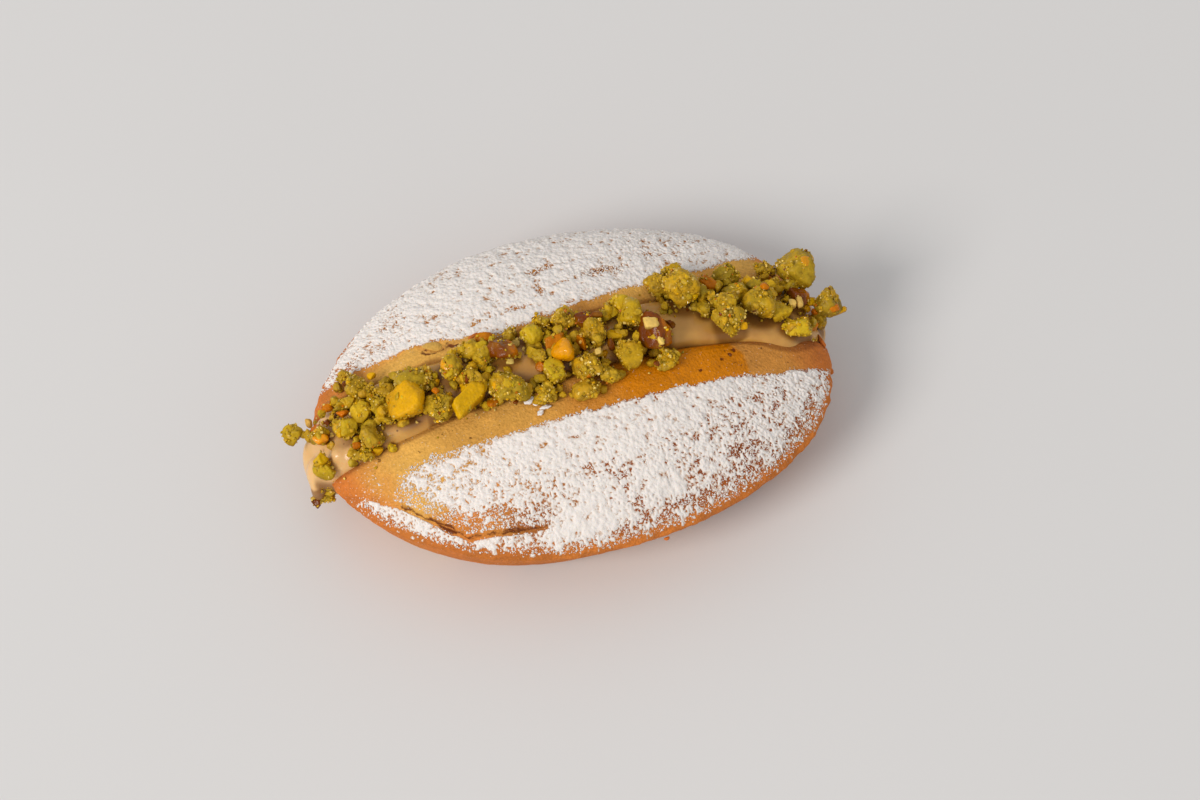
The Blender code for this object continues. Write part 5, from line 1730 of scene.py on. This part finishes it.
class MakeSugar(bpy.types.Operator):
    """Make the two fields of icing sugar, the stray grains around them and the lumps beside the nuts"""

    bl_idname = "pasticciotto.make_sugar"
    bl_label = "Icing sugar"

    def execute(self, context):
        looks = context.scene.sugar_looks
        material = sugar_material(looks)
        for name, near in (("sugar_near", True), ("sugar_far", False)):
            dress(sugar_field(name, near, looks), material, "icing_sugar")
        draw = np.random.default_rng(GRAIN_SEED)
        grains = BrokenPieces(*grain_places(looks, draw), draw).make("sugar_grains", GRAIN_GRID)
        rows = np.array(SUGAR_LUMPS) * MM
        lumps = BrokenPieces(rows[:, :3], rows[:, 3:], draw).make(
            "sugar_lumps", LUMP_GRID, np.full(len(rows), SUGAR_LUMP_RELIEF), SUGAR_LUMP_CELL)
        for obj, points in (grains, lumps):
            set_numbers(obj, "thickness", np.ones(len(points)))
            dress(obj, material, "icing_sugar")
        return {"FINISHED"}


# ---- the stage ----

class StageLooks(bpy.types.PropertyGroup):
    """The floor, the light and the camera."""

    floor: colour_prop("Floor", "The plain floor's colour", tone(219, 216, 214))
    key_power: bpy.props.FloatProperty(
        name="Key light", description="Power of the large soft light", min=0.0, unit="POWER", default=55.5)
    fill: bpy.props.FloatProperty(
        name="Fill", description="Strength of the light from all round", min=0.0, default=0.60)
    key_size: length_prop("Key size", "Width of the large soft light", 1.35, 0.1, 10.0)
    key_distance: length_prop("Key distance", "Distance of the large soft light", 3.0, 0.5, 20.0)


def view_direction(azimuth, elevation):
    """Return the direction from the aim at an azimuth, counted from the front, and an elevation."""
    return Vector((math.sin(azimuth) * math.cos(elevation), -math.cos(azimuth) * math.cos(elevation),
                   math.sin(elevation)))


def make_floor(looks):
    """Make the plain floor, one large square with a faint cloudiness."""
    corners = FLOOR_HALF * np.array([[-1.0, -1.0, 0.0], [1.0, -1.0, 0.0], [1.0, 1.0, 0.0], [-1.0, 1.0, 0.0]])
    floor = mesh_piece("floor", corners, np.array([[0, 1, 2, 3]]), np.empty((0, 3), int))
    material, shade, shader = new_material("pale_floor", {"Roughness": 0.8, "Specular IOR Level": 0.3})
    cloud = shade.noise(0.25, 3.0)
    connect(material, shader, {
        "Base Color": shade.mix(1.0, opaque(looks.floor), 0.97 + 0.06 * cloud, "MULTIPLY")})
    floor.data.materials.append(material)


def put_facing_aim(name, data, direction, distance):
    """Put a light or a camera at a distance from the aim, turned to face it."""
    obj = bpy.data.objects.new(name, data)
    obj.location = Vector(AIM) + direction * distance
    obj.rotation_euler = direction.to_track_quat("Z", "Y").to_euler()
    bpy.context.scene.collection.objects.link(obj)
    return obj


class MakeStage(bpy.types.Operator):
    """Make the plain floor, the soft light and the camera"""

    bl_idname = "pasticciotto.make_stage"
    bl_label = "Stage"

    def execute(self, context):
        scene = context.scene
        looks = scene.stage_looks
        make_floor(looks)
        key = bpy.data.lights.new("key", "AREA")
        key.shape = "DISK"
        key.size = looks.key_size
        key.energy = looks.key_power
        key.color = KEY_COLOUR
        put_facing_aim("key", key, view_direction(KEY_AZIMUTH, KEY_ELEVATION), looks.key_distance)
        world = bpy.data.worlds.new("fill")
        world.use_nodes = True
        background = world.node_tree.nodes["Background"]
        background.inputs["Color"].default_value = FILL_COLOUR
        background.inputs["Strength"].default_value = looks.fill
        scene.world = world
        scene.view_settings.view_transform = "Standard"
        camera = bpy.data.cameras.new("camera")
        camera.sensor_width = SENSOR
        camera.lens = SENSOR * PHOTO_FOCUS / PHOTO_WIDTH
        camera.clip_start = NEAREST_SEEN
        scene.camera = put_facing_aim(
            "camera", camera, view_direction(CAMERA_AZIMUTH, CAMERA_ELEVATION), CAMERA_DISTANCE)
        return {"FINISHED"}


# ---- the panel and the run ----

MAKERS = (MakeCrust, MakeFlakes, MakeCream, MakeNuts, MakeCrumbs, MakeSugar, MakeStage)
LOOKS = {"crust_looks": CrustLooks, "cream_looks": CreamLooks, "nut_looks": NutLooks,
         "sugar_looks": SugarLooks, "stage_looks": StageLooks}


class PasticciottoPanel(bpy.types.Panel):
    """Lists the makers and the looks"""

    bl_idname = "VIEW3D_PT_pasticciotto"
    bl_label = "Pasticciotto"
    bl_space_type = "VIEW_3D"
    bl_region_type = "UI"
    bl_category = "Pasticciotto"

    def draw(self, context):
        for maker in MAKERS:
            self.layout.operator(maker.bl_idname)
        for name, group in LOOKS.items():
            box = self.layout.box()
            for key in group.__annotations__:
                box.prop(getattr(context.scene, name), key)


def register():
    """Register the looks, the makers and the panel."""
    for group in LOOKS.values():
        bpy.utils.register_class(group)
    for name, group in LOOKS.items():
        setattr(bpy.types.Scene, name, bpy.props.PointerProperty(type=group))
    for kind in (*MAKERS, PasticciottoPanel):
        bpy.utils.register_class(kind)


def unregister():
    """Take back what register did."""
    for kind in (PasticciottoPanel, *reversed(MAKERS)):
        bpy.utils.unregister_class(kind)
    for name in LOOKS:
        delattr(bpy.types.Scene, name)
    for group in reversed(LOOKS.values()):
        bpy.utils.unregister_class(group)


def main():
    """Make every piece in order."""
    register()
    bpy.ops.pasticciotto.make_crust()
    bpy.ops.pasticciotto.make_flakes()
    bpy.ops.pasticciotto.make_cream()
    bpy.ops.pasticciotto.make_nuts()
    bpy.ops.pasticciotto.make_crumbs()
    bpy.ops.pasticciotto.make_sugar()
    bpy.ops.pasticciotto.make_stage()


if __name__ == "__main__":
    main()
